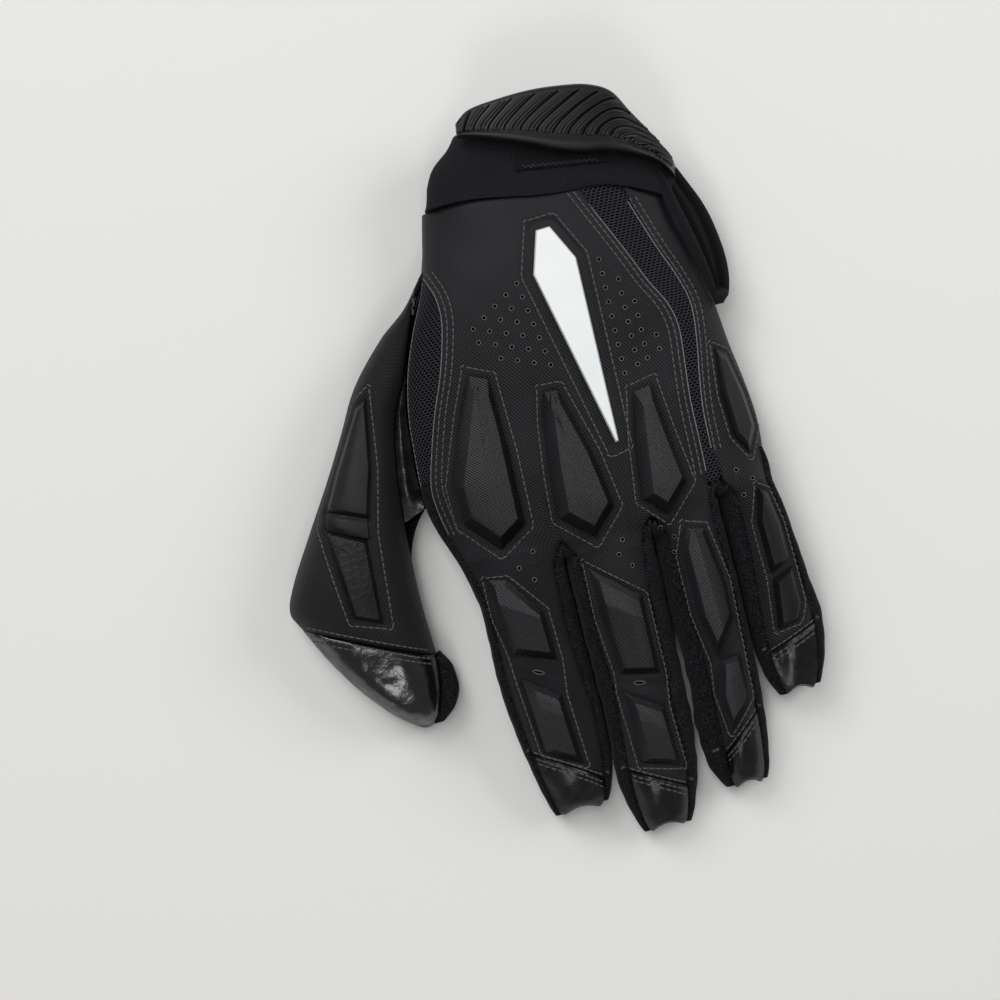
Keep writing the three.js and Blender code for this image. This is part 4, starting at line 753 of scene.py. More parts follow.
def tube(outer, inner):
    """Points and faces of a closed tube wall between two stacks of rings."""
    rings = np.concatenate([outer, inner[::-1]])
    count, sides = rings.shape[:2]
    i, k = np.meshgrid(np.arange(count), np.arange(sides), indexing="ij")
    here, beside = i * sides, ((i + 1) % count) * sides
    faces = np.stack([here + k, here + (k + 1) % sides, beside + (k + 1) % sides, beside + k], -1)
    pattern = np.concatenate([pattern_of(outer), pattern_of(inner)[::-1]])
    return np.hstack([rings.reshape(-1, 3), pattern.reshape(-1, 2)]), faces.reshape(-1, 4)


def outward(points, faces):
    """Turns all faces round if the closed shape is inside out."""
    points = points[:, :3]
    a, b, c = (points[faces[:, k]] for k in range(3))
    volume = np.einsum("ij,ij->", a, np.cross(b, c))
    if faces.shape[1] == 4:
        volume += np.einsum("ij,ij->", a, np.cross(c, points[faces[:, 3]]))
    return faces[:, ::-1] if volume < 0 else faces


def lay_pattern(mesh, pattern):
    """Stores each point's place on the flat cloth as a UV map, in metres."""
    corner_points = np.empty(len(mesh.loops), np.int32)
    mesh.loops.foreach_get("vertex_index", corner_points)
    layer = mesh.uv_layers.new(name="pattern")
    layer.uv.foreach_set("vector", (pattern[corner_points] * MM).astype(np.float32).ravel())


def piece(name, shape, material, nodes, sharp=None):
    """A finished object from points in millimetres, riding on the glove and standing for its CAD nodes."""
    points, faces = shape
    faces = outward(points, faces)
    used, faces_used = np.unique(faces, return_inverse=True)
    faces_used = faces_used.reshape(faces.shape)
    mesh = bpy.data.meshes.new(name)
    mesh.from_pydata((points[used, :3] * MM).tolist(), [], faces_used.tolist())
    mesh.materials.append(material)
    lay_pattern(mesh, points[used, 3:])
    mesh.shade_smooth()
    if sharp:
        mesh.set_sharp_from_angle(angle=math.radians(sharp))
    return ride(bpy.data.objects.new(name, mesh), nodes)


def store(mesh, name, values):
    """Keeps one number for each point, for a finish to read."""
    mesh.attributes.new(name, "FLOAT", "POINT").data.foreach_set("value", np.asarray(values, np.float32))


def mark_facing(made):
    """Stores how far each point faces up, from 0.1 on the sides to 1 on top, to fade leather's coat and shine on its
    sides as painted shade.
    """
    up = np.array([vertex.normal.z for vertex in made.data.vertices])
    store(made.data, "facing_up", 0.1 + 0.9 * ease(up, 0.25, 0.8))


def ride(made, nodes):
    if made.name not in bpy.context.scene.collection.objects:
        bpy.context.scene.collection.objects.link(made)
    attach(made, "root")
    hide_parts(*nodes)
    print(f"{made.name}: {len(made.data.polygons)} faces")
    return made


def rolled(grid, keep=None, drops=(1.1, 0.35, 0.06)):
    """Rolls the border of a sheet down, as a cut and pressed edge is."""
    rows, columns = grid.shape[:2]
    cells = np.ones((rows - 1, columns - 1), bool) if keep is None else keep
    padded_cells = np.pad(cells, 1)
    corner_cells = (padded_cells[:-1, :-1], padded_cells[1:, :-1], padded_cells[1:, 1:], padded_cells[:-1, 1:])
    steps = np.where(np.logical_and.reduce(corner_cells), 9, 0)
    for _ in drops:
        for axis in (0, 1):
            for shift in (1, -1):
                moved = np.roll(steps, shift, axis)
                steps = np.minimum(steps, moved + 1)
    result = grid.copy()
    for k, drop in enumerate(drops):
        result[..., 2] -= np.where(steps == k, drop, 0)
    return result


def sheet_grid(x, y, height):
    return np.stack([x, y, height], -1)


def lowered(grid, by):
    return grid - np.array([0, 0, by])


# %% [markdown]
# ## The back panels
# One panel of woven cloth covers the hand and three fingers, a second the outer side and the little finger.
# Cutting a plane with booleans would leave ragged cells along the seams. Here the pattern is a grid that fans
# out from the cuff and splits at the crotches of the fingers, so its rows run with the seams as the cloth does.

# %% The pattern of a hand panel
PANEL_STEP, PALM_STEP = 0.6, 0.9
CROTCH_ARCH = 1.3


def hand_grid(edges, names, end_y, first_gap=0.2, step=PANEL_STEP):
    """x, y, finger number and place across for a panel over the hand and some fingers, and the cells it has."""
    stops = []
    for k, name in enumerate(names):
        left, left_y, right, right_y = ROOTS[name][:4]
        if k:
            before = ROOTS[names[k - 1]]
            cells = max(int((left - before[2]) / step), 3)
            for t in np.linspace(0, 1, cells + 1)[1:-1]:
                arch = CROTCH_ARCH * math.sin(math.pi * t)
                stops.append((mix(before[2], left, t), mix(before[3], left_y, t) + arch, -1, 0.0))
        for t in np.linspace(0, 1, int((right - left) / step) + 1):
            stops.append((mix(left, right, t), mix(left_y, right_y, t), k, t))
    x_stop, y_stop, number, across = np.array(stops).T
    place = (x_stop - x_stop[0]) / (x_stop[-1] - x_stop[0])
    roots = (ROOTS[names[0]][0], ROOTS[names[0]][1], ROOTS[names[-1]][2], ROOTS[names[-1]][3])
    rows = np.vstack([edges, roots])
    last = len(rows) - 1
    index = np.linspace(0, last, int((rows[0, 1] - rows[-1, 1]) / step))[:, None]
    left, left_y, right, right_y = (column(index) for column in by_row(rows))
    x = mix(left, right, place)
    y = mix(left_y, right_y, place)
    y = y + ease(index, last - 3, last) * (y_stop - mix(roots[1], roots[3], place))
    y = y + (1 - ease(index, 0, 1.5)) * (cuff_seam(x[0]) - first_gap - mix(left_y[0], right_y[0], place))
    hand_rows = len(x)
    longest = max(y_stop.max() - min(np.min(end_y(name, np.linspace(0, 1, 5))) for name in names), 1)
    count = int(longest / step)
    down = np.arange(1, count + 1)[:, None] / count
    x_fingers, y_fingers = np.tile(x_stop, (count, 1)), np.tile(y_stop, (count, 1))
    for k, name in enumerate(names):
        column = number == k
        y_k = mix(y_stop[column], end_y(name, across[column]), down)
        y_fingers[:, column] = y_k
        x_fingers[:, column] = mix(finger_edge(name, "left", y_k), finger_edge(name, "right", y_k), across[column])
    x, y = np.vstack([x, x_fingers]), np.vstack([y, y_fingers])
    keep = np.ones((len(x) - 1, x.shape[1] - 1), bool)
    web = (number[:-1] < 0) | (number[1:] < 0) | (number[:-1] != number[1:])
    keep[hand_rows - 1:, web] = False
    return x, y, number.astype(int), across, keep, hand_rows


back_x, back_y, _, _, back_keep, _ = hand_grid(BACK_EDGES, ["index", "middle", "ring"], cap_line)
back_top = sheet_grid(back_x, back_y, skin(back_x, back_y))
back_under = sheet_grid(back_x, back_y, back_height(back_x, back_y) - CLOTH_WALL)
shape = wall(rolled(back_top, back_keep), back_under, back_keep)
piece("back_panel_cloth", shape, panel_cloth, ["back_panel"], sharp=60)

outer_y = np.array([56, 47, 38, 28, 20, 9, 0, -11, -22.0])
outer_edges = np.stack([outer_edge(outer_y) + 0.15, outer_y, hand_right(outer_y - 4) - 0.2, outer_y - 4], 1)
side_x, side_y, _, _, side_keep, _ = hand_grid(outer_edges, ["little"], cap_line)
side_top = sheet_grid(side_x, side_y, outer_skin(side_x, side_y))
side_under = sheet_grid(side_x, side_y, back_height(side_x, side_y) - CLOTH_WALL)
shape = wall(rolled(side_top, side_keep), side_under, side_keep)
piece("outer_panel_cloth", shape, panel_cloth, ["outer_panel"], sharp=60)

# %% [markdown]
# ## The palm
# The palm and the fronts of the fingers are one piece of coated leather. It lies flat on the table and turns
# up at the sides. Real leather creases there. A sculpt could sink into the table, so soft waves by rule only
# ever lift it.

# %% The palm
RIM_EXTRA = 2.6    # how much thicker the turned-up rim is, so that it meets the panels above it
palm_y = np.array([64, 54, 44, 30, 19, 8, -3, -14, -24.0])
palm_right_y = palm_y - np.array([13.5, 7, 3, 3, 3, 3, 3, 3, 3])
palm_tuck = np.array([2.0, 0.5, 0.3, 0.3, 0.3, 0.3, 0.3, 0.3, 0.3])
palm_edges = np.stack([hand_left(palm_y) + palm_tuck, palm_y,
                       hand_right(palm_right_y) - palm_tuck, palm_right_y], 1)
all_fingers = list(FINGERS)


def palm_end(name, across):
    return tip_end(name, across) - 0.2


palm_x, palm_y_grid, palm_number, _, palm_keep, palm_hand_rows = hand_grid(
    palm_edges, all_fingers, palm_end, first_gap=-0.8, step=PALM_STEP)
palm_z = palm_height(palm_x, palm_y_grid)
for k, name in enumerate(all_fingers):
    column = palm_number == k
    start = palm_hand_rows
    level = under_finger(name, palm_x[start:, column], palm_y_grid[start:, column])
    blend = ease(np.arange(level.shape[0])[:, None], 0, 8)
    palm_z[start:, column] = mix(palm_z[start - 1, column], level, blend)
creased = palm_z + np.abs(waves(palm_x * 1.6, palm_y_grid * 1.6, 0.5)) * (1 - ease(palm_z, 0.3, 2.5))
palm_outer = sheet_grid(palm_x, palm_y_grid, creased)
raised = (palm_y_grid > -34) * np.where(palm_x < 0, 1 - ease(palm_y_grid, 52, 60), 1)
palm_inner = sheet_grid(palm_x, palm_y_grid, palm_z + LEATHER_WALL + RIM_EXTRA * (palm_z / DEEPEST_RIM) ** 4 * raised)
shape = wall(palm_outer, palm_inner, palm_keep)
piece("palm_leather_front", shape, palm_leather, ["palm"], sharp=60)


# %% [markdown]
# ## Mesh gussets
# Where the hand must breathe, an open spacer mesh joins the panels. Its ground is a dark wall, and the net of
# long hexagons on it repeats hundreds of times, so Geometry Nodes will lay that later.

# %% The grounds of the gussets
def strip_grid(left, right, columns, sink):
    t = np.linspace(0, 1, columns)[None, :]
    x, y = mix(left[:, :1], right[:, :1], t), mix(left[:, 1:], right[:, 1:], t)
    return sheet_grid(x, y, back_height(x, y) - sink)


def dense(rows, step=0.7):
    """A table of places, drawn out as smooth curves with a point every step."""
    rows = np.asarray(rows, float)
    length = np.linalg.norm(np.diff(rows[:, :2], axis=0), axis=1).sum()
    index = np.linspace(0, len(rows) - 1, max(int(length / step), 4))
    return np.stack([column(index) for column in by_row(rows)], 1)


inner_side = dense(BACK_EDGES[2:10, :2])
thumb_side_x = np.minimum(hand_left(inner_side[:, 1]) + 0.1, inner_side[:, 0] - 1.1)
thumb_side_edge = np.stack([thumb_side_x, inner_side[:, 1]], 1)
thumb_gusset_grid = strip_grid(thumb_side_edge, inner_side + [1.2, 0], 18, 0.8)
shape = wall(thumb_gusset_grid, lowered(thumb_gusset_grid, MESH_WALL))
piece("thumb_gusset_ground", shape, mesh_knit, ["thumb_gusset"])

narrow_left = dense(np.vstack([BACK_EDGES[:, 2:], (27.1, -31.2)]))
narrow_right_x = np.maximum(outer_edge(narrow_left[:, 1]), narrow_left[:, 0] + 1.1)
narrow_left[0, 1] = cuff_seam(narrow_left[0, 0])
narrow_right = np.stack([narrow_right_x + 1.4, narrow_left[:, 1]], 1)
outer_gusset_grid = strip_grid(narrow_left - [1.2, 0], narrow_right, 14, 0.8)
shape = wall(outer_gusset_grid, lowered(outer_gusset_grid, MESH_WALL))
piece("outer_gusset_ground", shape, mesh_knit, ["outer_gusset"])

# %% [markdown]
# ## Fingertip caps
# A cap is a folded piece of smooth leather with two square corners and a seam that dips between them. A
# subdivided box would lose the corners, so rows of points run from the seam to the lip and down the nose.

# %% The fingertip caps
CAP_COLUMNS, CAP_ROWS, NOSE_ROWS = 37, 24, 8
for name in all_fingers:
    across = np.linspace(0, 1, CAP_COLUMNS)
    tip_y = FINGERS[name][-1, 0]
    start = cap_line(name, across)
    end = tip_end(name, across)
    rows = []
    for t in np.linspace(0, 1, CAP_ROWS):
        y = mix(start, end, t)
        x = mix(finger[name]["seam_left"](y) - 0.25, finger[name]["seam_right"](y) + 0.25, across)
        pucker = 0.18 * np.sin(9 * across + 3 * t + tip_y) * math.sin(math.pi * t)
        pucker = pucker + 0.16 * np.sin(34 * across + tip_y) * math.exp(-6 * t) * ease(t, 0.0, 0.12)
        lip = 0.45 * ease(t, 0.0, 0.08) - 0.45
        rows.append(np.stack([x, y, back_height(x, y) + 0.25 + pucker + lip + 0.5 * t], 1))
    brim = rows[-1]
    low = under_finger(name, brim[:, 0], np.full(CAP_COLUMNS, tip_y)) + LEATHER_WALL
    for t in np.linspace(0, 1, NOSE_ROWS + 1)[1:]:
        y = brim[:, 1] - 0.8 * math.sin(math.pi * min(t, 0.85))
        rows.append(np.stack([brim[:, 0], y, mix(brim[:, 2], low, t)], 1))
    top = np.array(rows)
    under = top - np.array([0, 0, 1.5])
    under[CAP_ROWS:, :, 1] += 1.5
    under[CAP_ROWS:, :, 2] = np.maximum(top[CAP_ROWS:, :, 2] - 0.3, under[CAP_ROWS:, :, 2])
    shape = wall(top, under)
    mark_facing(piece(f"{name}_tip_cap", shape, tip_leather, [f"fingertip_{name}"], sharp=50))

# %% [markdown]
# ## Strips between the fingers
# A strip of stretch knit runs down one finger, round the crotch and down the next. Stuffed by the glove's own
# stiffness it stands as a soft roll, so its section is a rounded bulge swept along the two fingers.


# %% The side strips
def strip_stations(name, side):
    """Edge x, y, reach x, y, top and bottom of a side strip, from the crotch to the fingertip."""
    root = ROOTS[name]
    start = root[1] if side == "left" else root[3]
    sign = -1 if side == "left" else 1
    y = np.arange(start - 4.5, FINGERS[name][-1, 0], -2.0)
    edge = finger_edge(name, side, y)
    top = back_height(edge, y) - 0.75
    bottom = under_finger(name, edge, y) + 0.5
    reach = finger[name]["wall_" + side](y) + sign * 0.3
    return np.stack([edge - sign * 0.45, y, reach, y, top, bottom], 1)


def roll(stations, name, node_name):
    """A rounded wall of knit along its stations, and the name of its node."""
    path = dense(stations, 0.8)
    away = path[:, 2:4] - path[:, :2]
    reach = np.linalg.norm(away, axis=1, keepdims=True)
    away = away / reach
    t = np.linspace(0, 1, 17)[None, :]
    bulge = np.sin(math.pi * t) ** 0.75
    turn = np.cos(math.pi * t)
    middle, half = (path[:, 4:5] + path[:, 5:6]) / 2, (path[:, 4:5] - path[:, 5:6]) / 2
    along = np.arange(len(path))[:, None]
    wobble = 1 + 0.05 * np.sin(along * 0.5) * np.sin(along * 0.17)
    grids = []
    for thickness in (KNIT_WALL, 0.0):
        out = (reach - KNIT_WALL) * bulge * wobble + thickness
        z = middle + (half - (KNIT_WALL - thickness) * 0.6) * np.sign(turn) * np.abs(turn) ** 0.8
        grids.append(np.stack([path[:, :1] + away[:, :1] * out, path[:, 1:2] + away[:, 1:] * out, z], -1))
    return piece(name, wall(*grids), strip_knit, [node_name], sharp=70), node_name


strips = {}
for first, second in zip(all_fingers, all_fingers[1:]):
    a, b = ROOTS[first], ROOTS[second]
    middle_x, top_y = (a[2] + b[0]) / 2, min(a[3], b[1])
    high, low = float(back_height(middle_x, top_y)) - 0.8, float(palm_height(middle_x, top_y)) + 0.8
    crotch = [(a[2] - 0.6, top_y - 1.0, middle_x - 0.3, top_y - 4.6, high, low),
              (middle_x, top_y + 1.5, middle_x, top_y - 3.4, high, low),
              (b[0] + 0.6, top_y - 1.0, middle_x + 0.3, top_y - 4.6, high, low)]
    stations = np.vstack([strip_stations(first, "right")[::-1], crotch, strip_stations(second, "left")])
    between = roll(stations, f"strip_{first}_{second}", f"fourchette_{first}_{second}")
    strips[first, "right"] = strips[second, "left"] = between

panel_left = curve(np.r_[BACK_EDGES[:, 1], -38], np.r_[BACK_EDGES[:, 0], -46.0])
hand_y = np.array([-12.6, -20, -27, -33, -38])
index_root = [(float(panel_left(y)) + 0.7, y, float(hand_left(y)) - 0.3, y,
               float(back_height(panel_left(y), y)) - 0.8, 7.2) for y in hand_y]
index_stations = np.vstack([index_root, strip_stations("index", "left")])
strips["index", "left"] = roll(index_stations, "strip_index_side", "index_side")
little_root = [(float(hand_right(y)) - tucked, y, float(hand_right(y)) - tucked + 1.9, y,
                float(back_height(hand_right(y) - tucked, y)) - 0.9, 7.2)
               for y, tucked in ((-25.0, 2.4), (-29.8, 1.1))]
little_stations = np.vstack([little_root, strip_stations("little", "right")])
strips["little", "right"] = roll(little_stations, "strip_little_side", "little_side")

# %% [markdown]
# ## The thumb
# The thumb is a flattened tube of its own: woven back, glossy tip and front, a knit strip on the inside and a
# leather web to the hand. A sculpt would blur the straight seams between them, so one table of sections is
# drawn out smoothly from root to tip, and each piece takes its own stretch of it.

# %% Sections of the thumb
thumb_column = by_row(THUMB)
web_column = by_row(WEB_HAND_SIDE)


def thumb_sheet(from_section, to_section, columns, step=PANEL_STEP):
    """x, y, place across and section number over a stretch of the thumb."""
    length = np.hypot(*(THUMB[to_section, :2] - THUMB[from_section, :2]))
    u = np.linspace(from_section, to_section, int(length / step) + 2)[:, None]
    t = (1 - np.cos(math.pi * np.linspace(0, 1, columns)))[None, :] / 2
    out_x, out_y, in_x, in_y = (thumb_column[k](u) for k in range(4))
    return mix(out_x, in_x, t), mix(out_y, in_y, t), 2 * t - 1 + 0 * u, u + 0 * t


def thumb_top(across, u):
    edge = np.where(across < 0, thumb_column[5](u), thumb_column[6](u))
    return dome(across, edge, thumb_column[4](u))


thumb_x, thumb_y, thumb_across, thumb_u = thumb_sheet(0, THUMB_SEAM, 60)
thumb_z = thumb_top(thumb_across, thumb_u)
thumb_outer = sheet_grid(thumb_x, thumb_y, thumb_z + relief(thumb_x, thumb_y, thumb_rows, ("thumb",)))
shape = wall(rolled(thumb_outer), sheet_grid(thumb_x, thumb_y, thumb_z - CLOTH_WALL))
thumb_cloth_piece = piece("thumb_back_cloth", shape, thumb_cloth, ["thumb_back"], sharp=60)

tip_x, tip_y, tip_across, tip_u = thumb_sheet(THUMB_SEAM, len(THUMB) - 1, 52)
tip_z = thumb_top(tip_across, tip_u)
crumple = 0.8 * waves(tip_x, tip_y, 0.55) * (1 - tip_across ** 2)
lip = 0.5 * (ease(tip_u, THUMB_SEAM, THUMB_SEAM + 0.12) - 1)
tip_sheet = sheet_grid(tip_x, tip_y - 0.2, tip_z + crumple + lip)
down = np.linspace(0, 1, 8)[1:, None, None]
nose = mix(tip_sheet[-1], tip_sheet[-1] * [1, 1, 0] + [0, 0, 2.2], down)
nose = nose - [0, 0.9, 0] * np.sin(down * 2.8) * (1 - tip_across[-1][:, None] ** 2)
tip_inside = sheet_grid(tip_x, tip_y - 0.2, tip_z - LEATHER_WALL)
tip_sheet = np.concatenate([rolled(tip_sheet, drops=(0.5, 0.2)), nose])
tip_inside = np.concatenate([tip_inside, np.maximum(nose - [0, 0, 1.6], [-1e3, -1e3, 1.2]) + [0, 1.5, 0]])
shape = wall(tip_sheet, tip_inside)
thumb_tip_piece = piece("thumb_tip_leather", shape, thumb_leather, ["thumb_tip"], sharp=60)
mark_facing(thumb_tip_piece)

# %% The front of the thumb and its web
RIM_BELOW_SIDE = 3.9    # the front's edge lies this far below the side of the thumb's back
rows = np.linspace(0, len(THUMB) - 1, 150)
web_y = web_column[1](np.clip(rows, 0, THUMB_CROTCH))
with_web = 1 - ease(rows, THUMB_CROTCH, THUMB_CROTCH + 0.9)
columns = [column(rows) for column in thumb_column]
under_in_x = mix(columns[2], hand_left(web_y) - 0.3, with_web)
under_in_y = mix(columns[3], web_y, with_web)
rim_in = mix(columns[6], SIDE_HEIGHT, with_web) - RIM_BELOW_SIDE
t = np.linspace(0, 1, 40)[None, :]
rim = np.where(t < 0.5, columns[5][:, None] - RIM_BELOW_SIDE, rim_in[:, None])
under_z = mix(0.4, rim, np.abs(2 * t - 1) ** 3)
under_x = mix(columns[0][:, None], under_in_x[:, None], t)
under_y = mix(columns[1][:, None], under_in_y[:, None], t)
wrinkled = under_z + np.abs(waves(under_x * 1.8, under_y * 1.8, 0.45)) * (1 - np.abs(2 * t - 1) ** 3)
shape = wall(sheet_grid(under_x, under_y, wrinkled), sheet_grid(under_x, under_y, under_z + 1.8))
piece("thumb_front_leather", shape, palm_leather, ["thumb_palm"], sharp=60)

u = np.linspace(0, THUMB_CROTCH, 90)[:, None]
t = np.linspace(0, 1, 22)[None, :]
hand_x, hand_y_web = (column(u) for column in web_column)
hand_z = back_height(hand_left(hand_y_web) + 0.4, hand_y_web) - 1.0
end_flat = ease(u, THUMB_CROTCH - 1, THUMB_CROTCH)
web_z = mix(mix(hand_z, thumb_column[6](u) - 0.6, t) - 2.4 * np.sin(math.pi * t), 8.8, end_flat)
web_x = mix(hand_x - 0.3, thumb_column[2](u) + 0.3, t)
web_y_grid = mix(hand_y_web, thumb_column[3](u), t)
web_top = sheet_grid(web_x, web_y_grid, web_z + waves(web_x * 2, web_y_grid * 2, 0.22))
shape = wall(web_top, lowered(sheet_grid(web_x, web_y_grid, web_z), 1.4))
piece("thumb_web_leather", shape, palm_leather, ["thumb_web"], sharp=60)

sections = np.linspace(0, 4, 60)
strip_x, strip_y = (column(sections) for column in by_row(THUMB_STRIP))
start_x, start_y, start_z = (thumb_column[k](sections + THUMB_SEAM) for k in (2, 3, 6))
thumb_side_stations = np.stack([start_x - 0.4, start_y, strip_x, strip_y, start_z + 0.8, np.full(60, 1.2)], 1)
roll(thumb_side_stations, "thumb_side_knit", "thumb_side")

# %% [markdown]
# ## Moulded pads
# Each pad is a block with cut facets, pressed into the cloth. Rings of points that move in from its outline
# keep every crease exactly on an edge of the mesh, which a sculpted or simulated cushion would smear.


# %% Heights read off a finished piece
LOOK_DOWN_FROM = 0.1     # in metres, above every piece
BESIDE_HEIGHT = 0.015    # beside a piece, its nearest point to this height counts


def heights_on(made):
    """A function that gives the height of a piece's upper surface at places in millimetres."""
    mesh = made.data
    faces = BVHTree.FromPolygons([v.co for v in mesh.vertices], [p.vertices for p in mesh.polygons])

    def read(x, y):
        x, y = np.broadcast_arrays(np.asarray(x, float), np.asarray(y, float))
        result = np.empty(x.shape)
        for place in np.ndindex(x.shape):
            start = Vector((x[place] * MM, y[place] * MM, LOOK_DOWN_FROM))
            hit = faces.ray_cast(start, Vector((0, 0, -1)))[0]
            if hit is None:
                hit = faces.find_nearest(start - Vector((0, 0, LOOK_DOWN_FROM - BESIDE_HEIGHT)))[0]
            result[place] = hit.z / MM
        return result
    return read


thumb_skin = heights_on(thumb_cloth_piece)
SKINS = {"back": back_height, "outer": back_height, "thumb": thumb_skin}
# extra facets: a line's first point and direction, how fast the top falls away to its left in mm per mm, and
# its tone, a painted shade that darkens the fallen side
EXTRA_FACETS = {
    "index_pad_near": [((-40.7, -50.3), (12.0, -7.7), 0.30, 1.0), ((-28.7, -58.0), (-12.0, 7.7), 0.075, 0.68)],
    "index_pad_far": [((-37.5, -78.5), (9.5, -6.5), 0.30, 1.0), ((-28.0, -88.0), (-9.5, 6.5), 0.06, 0.8)],
    "middle_pad_near": [((-11.5, -57.0), (12.0, -8.5), 0.28, 1.0), ((0.5, -65.5), (-12.0, 8.5), 0.06, 0.68)],
    "middle_pad_far": [((-10.5, -89.0), (10.5, -7.0), 0.30, 1.0), ((0.0, -99.0), (-10.5, 7.0), 0.06, 0.8)],
    "ring_pad_near": [((19.8, -42.0), (1.6, -38.0), 0.22, 0.66), ((13.7, -57.6), (10.6, 2.0), 0.12, 1.0)],
    "ring_pad_far": [((16.0, -89.0), (9.0, 3.0), 0.2, 1.0), ((20.2, -82.0), (-0.6, -20.0), 0.15, 0.74)],
    "knuckle_pad_index": [((-32.6, 12.0), (3.2, -46.0), 0.12, 0.94)],
    "knuckle_pad_middle": [((-10.4, 3.0), (3.6, -40.0), 0.12, 0.94)],
    "knuckle_pad_ring": [((15.4, -2.0), (1.4, -34.0), 0.12, 0.94)],
}


PAD_STEP = 0.55        # from point to point along a side
PAD_CREASE = 34        # edges sharper than this, in degrees, stay crisp
BLOCK_ROOT = -1.2      # height of a block's first ring, inside the cloth
TOP_STEPS, FILM_TOP_STEPS = 16, 8
SLOPE_STEPS, FILM_SLOPE_STEPS = 7, 3


def pad(name, material):
    """A moulded block, or the emblem's film: rings up the slopes, then rings across the top to its centre."""
    panel, top, table = PADS[name]
    table = np.array(table)
    corners, slopes = table[:, :2], table[:, 2]
    sides = [max(int(np.hypot(*step) / PAD_STEP), 2) for step in np.roll(corners, -1, 0) - corners]

    def ring(outline):
        after = np.roll(outline, -1, 0)
        return np.concatenate([mix(a, b, np.linspace(0, 1, n, endpoint=False)[:, None])
                               for a, b, n in zip(outline, after, sides)])

    film = name == "emblem"
    sunk = 0.5 if film else 0.0
    slope_steps, top_steps = (FILM_SLOPE_STEPS, FILM_TOP_STEPS) if film else (SLOPE_STEPS, TOP_STEPS)
    rings, painted_shade = [], []
    levels = [(0.0, BLOCK_ROOT)] + [(t, -0.2 + (0.3 + top) * (t + 0.05 * math.sin(math.pi * t)))
                                    for t in np.linspace(0, 1, slope_steps)]
    along = np.roll(corners, -1, 0) - corners
    along /= np.linalg.norm(along, axis=1)[:, None]
    # painted shade: a slope is darker the more it faces the fingertips and the little finger, away from the main
    # light
    facing = 0.5 + 0.5 * (-along[:, 1] * -0.45 + along[:, 0] * 0.89)
    painted_slope_shade = np.repeat(np.minimum(0.15 + facing ** 1.5, 1), sides)
    for t, height in levels:
        place = ring(moved_in(corners, slopes * t))
        rings.append((place, height))
        painted_shade.append(np.ones(len(place)) if t > 0.99 else painted_slope_shade.copy())
    top_corners = moved_in(corners, slopes)
    inner, centre = ring(top_corners), top_corners.mean(0)
    for t in np.linspace(0, 1, top_steps + 1)[1:-1]:
        rings.append((mix(inner, centre, t), 0.1 + top))
        painted_shade.append(np.ones(len(inner)))
    rings.append((centre[None, :], 0.1 + top))
    painted_shade.append(np.ones(1))
    surface = SKINS[panel]
    points, count = [], len(inner)
    for (place, height), tone in zip(rings, painted_shade):
        x, y = place.T
        high = surface(x, y) - sunk
        lift = np.full(len(x), height)
        if height > 0:
            for (ax, ay), (dx, dy), fall, painted_facet_shade in EXTRA_FACETS.get(name, ()):
                length = math.hypot(dx, dy)
                beside = (dx * (y - ay) - dy * (x - ax)) / length
                lift = lift - fall * np.maximum(beside, 0) * min(height / top, 1)
                if height > top:
                    # the fallen side of a facet gets painted shade
                    tone *= np.where(beside > 0, painted_facet_shade, 1.0)
        points.append(np.stack([x, y, high + lift], 1))
    bottom = np.array([[centre[0], centre[1], float(np.min(surface(*centre))) - sunk - 1.6]])
    points = np.concatenate([*points, bottom])
    rows = len(rings) - 1
    k = np.arange(count)
    after = (k + 1) % count
    faces = []
    for i in range(rows - 1):
        low, high = i * count, (i + 1) * count
        faces += np.stack([low + k, low + after, high + after, high + k], 1).tolist()
    hub, base = rows * count, rows * count + 1
    faces += [[(rows - 1) * count + a, (rows - 1) * count + b, hub] for a, b in zip(k, after)]
    faces += [[b, a, base] for a, b in zip(k, after)]
    mesh = bpy.data.meshes.new(f"{name}_block")
    mesh.from_pydata((points * MM).tolist(), [], [tuple(int(v) for v in face[::-1]) for face in faces])
    mesh.materials.append(material)
    store(mesh, "painted_shade", np.concatenate([*painted_shade, [0.0]]))
    lay_pattern(mesh, points[:, :2])
    mesh.shade_smooth()
    mesh.set_sharp_from_angle(angle=math.radians(PAD_CREASE))
    block = ride(bpy.data.objects.new(f"{name}_block", mesh),
                 ["thumb_pad_far" if name == "thumb_ledge" else name])
    return block


# %% The blocks and the emblem
for name, (panel, _, _) in PADS.items():
    if name == "emblem":
        pad(name, white_film)
    elif panel == "back":
        pad(name, pad_cloth)
    else:
        pad(name, cell_rubber if name == "thumb_pad_far" else pad_rubber)

# %% [markdown]
# ## The cuff
# A tube of neoprene with a flat oval section. Its edges are bound, so both ends swell a little. A cylinder
# bent by modifiers would slip off its seam with the hand, so rings of points follow a table to that seam.


# %% The cuff
def boxier(value):
    """A cosine or sine drawn out, so that a circle becomes a rounded box."""
    return np.sign(value) * np.abs(value) ** CUFF_ROUND


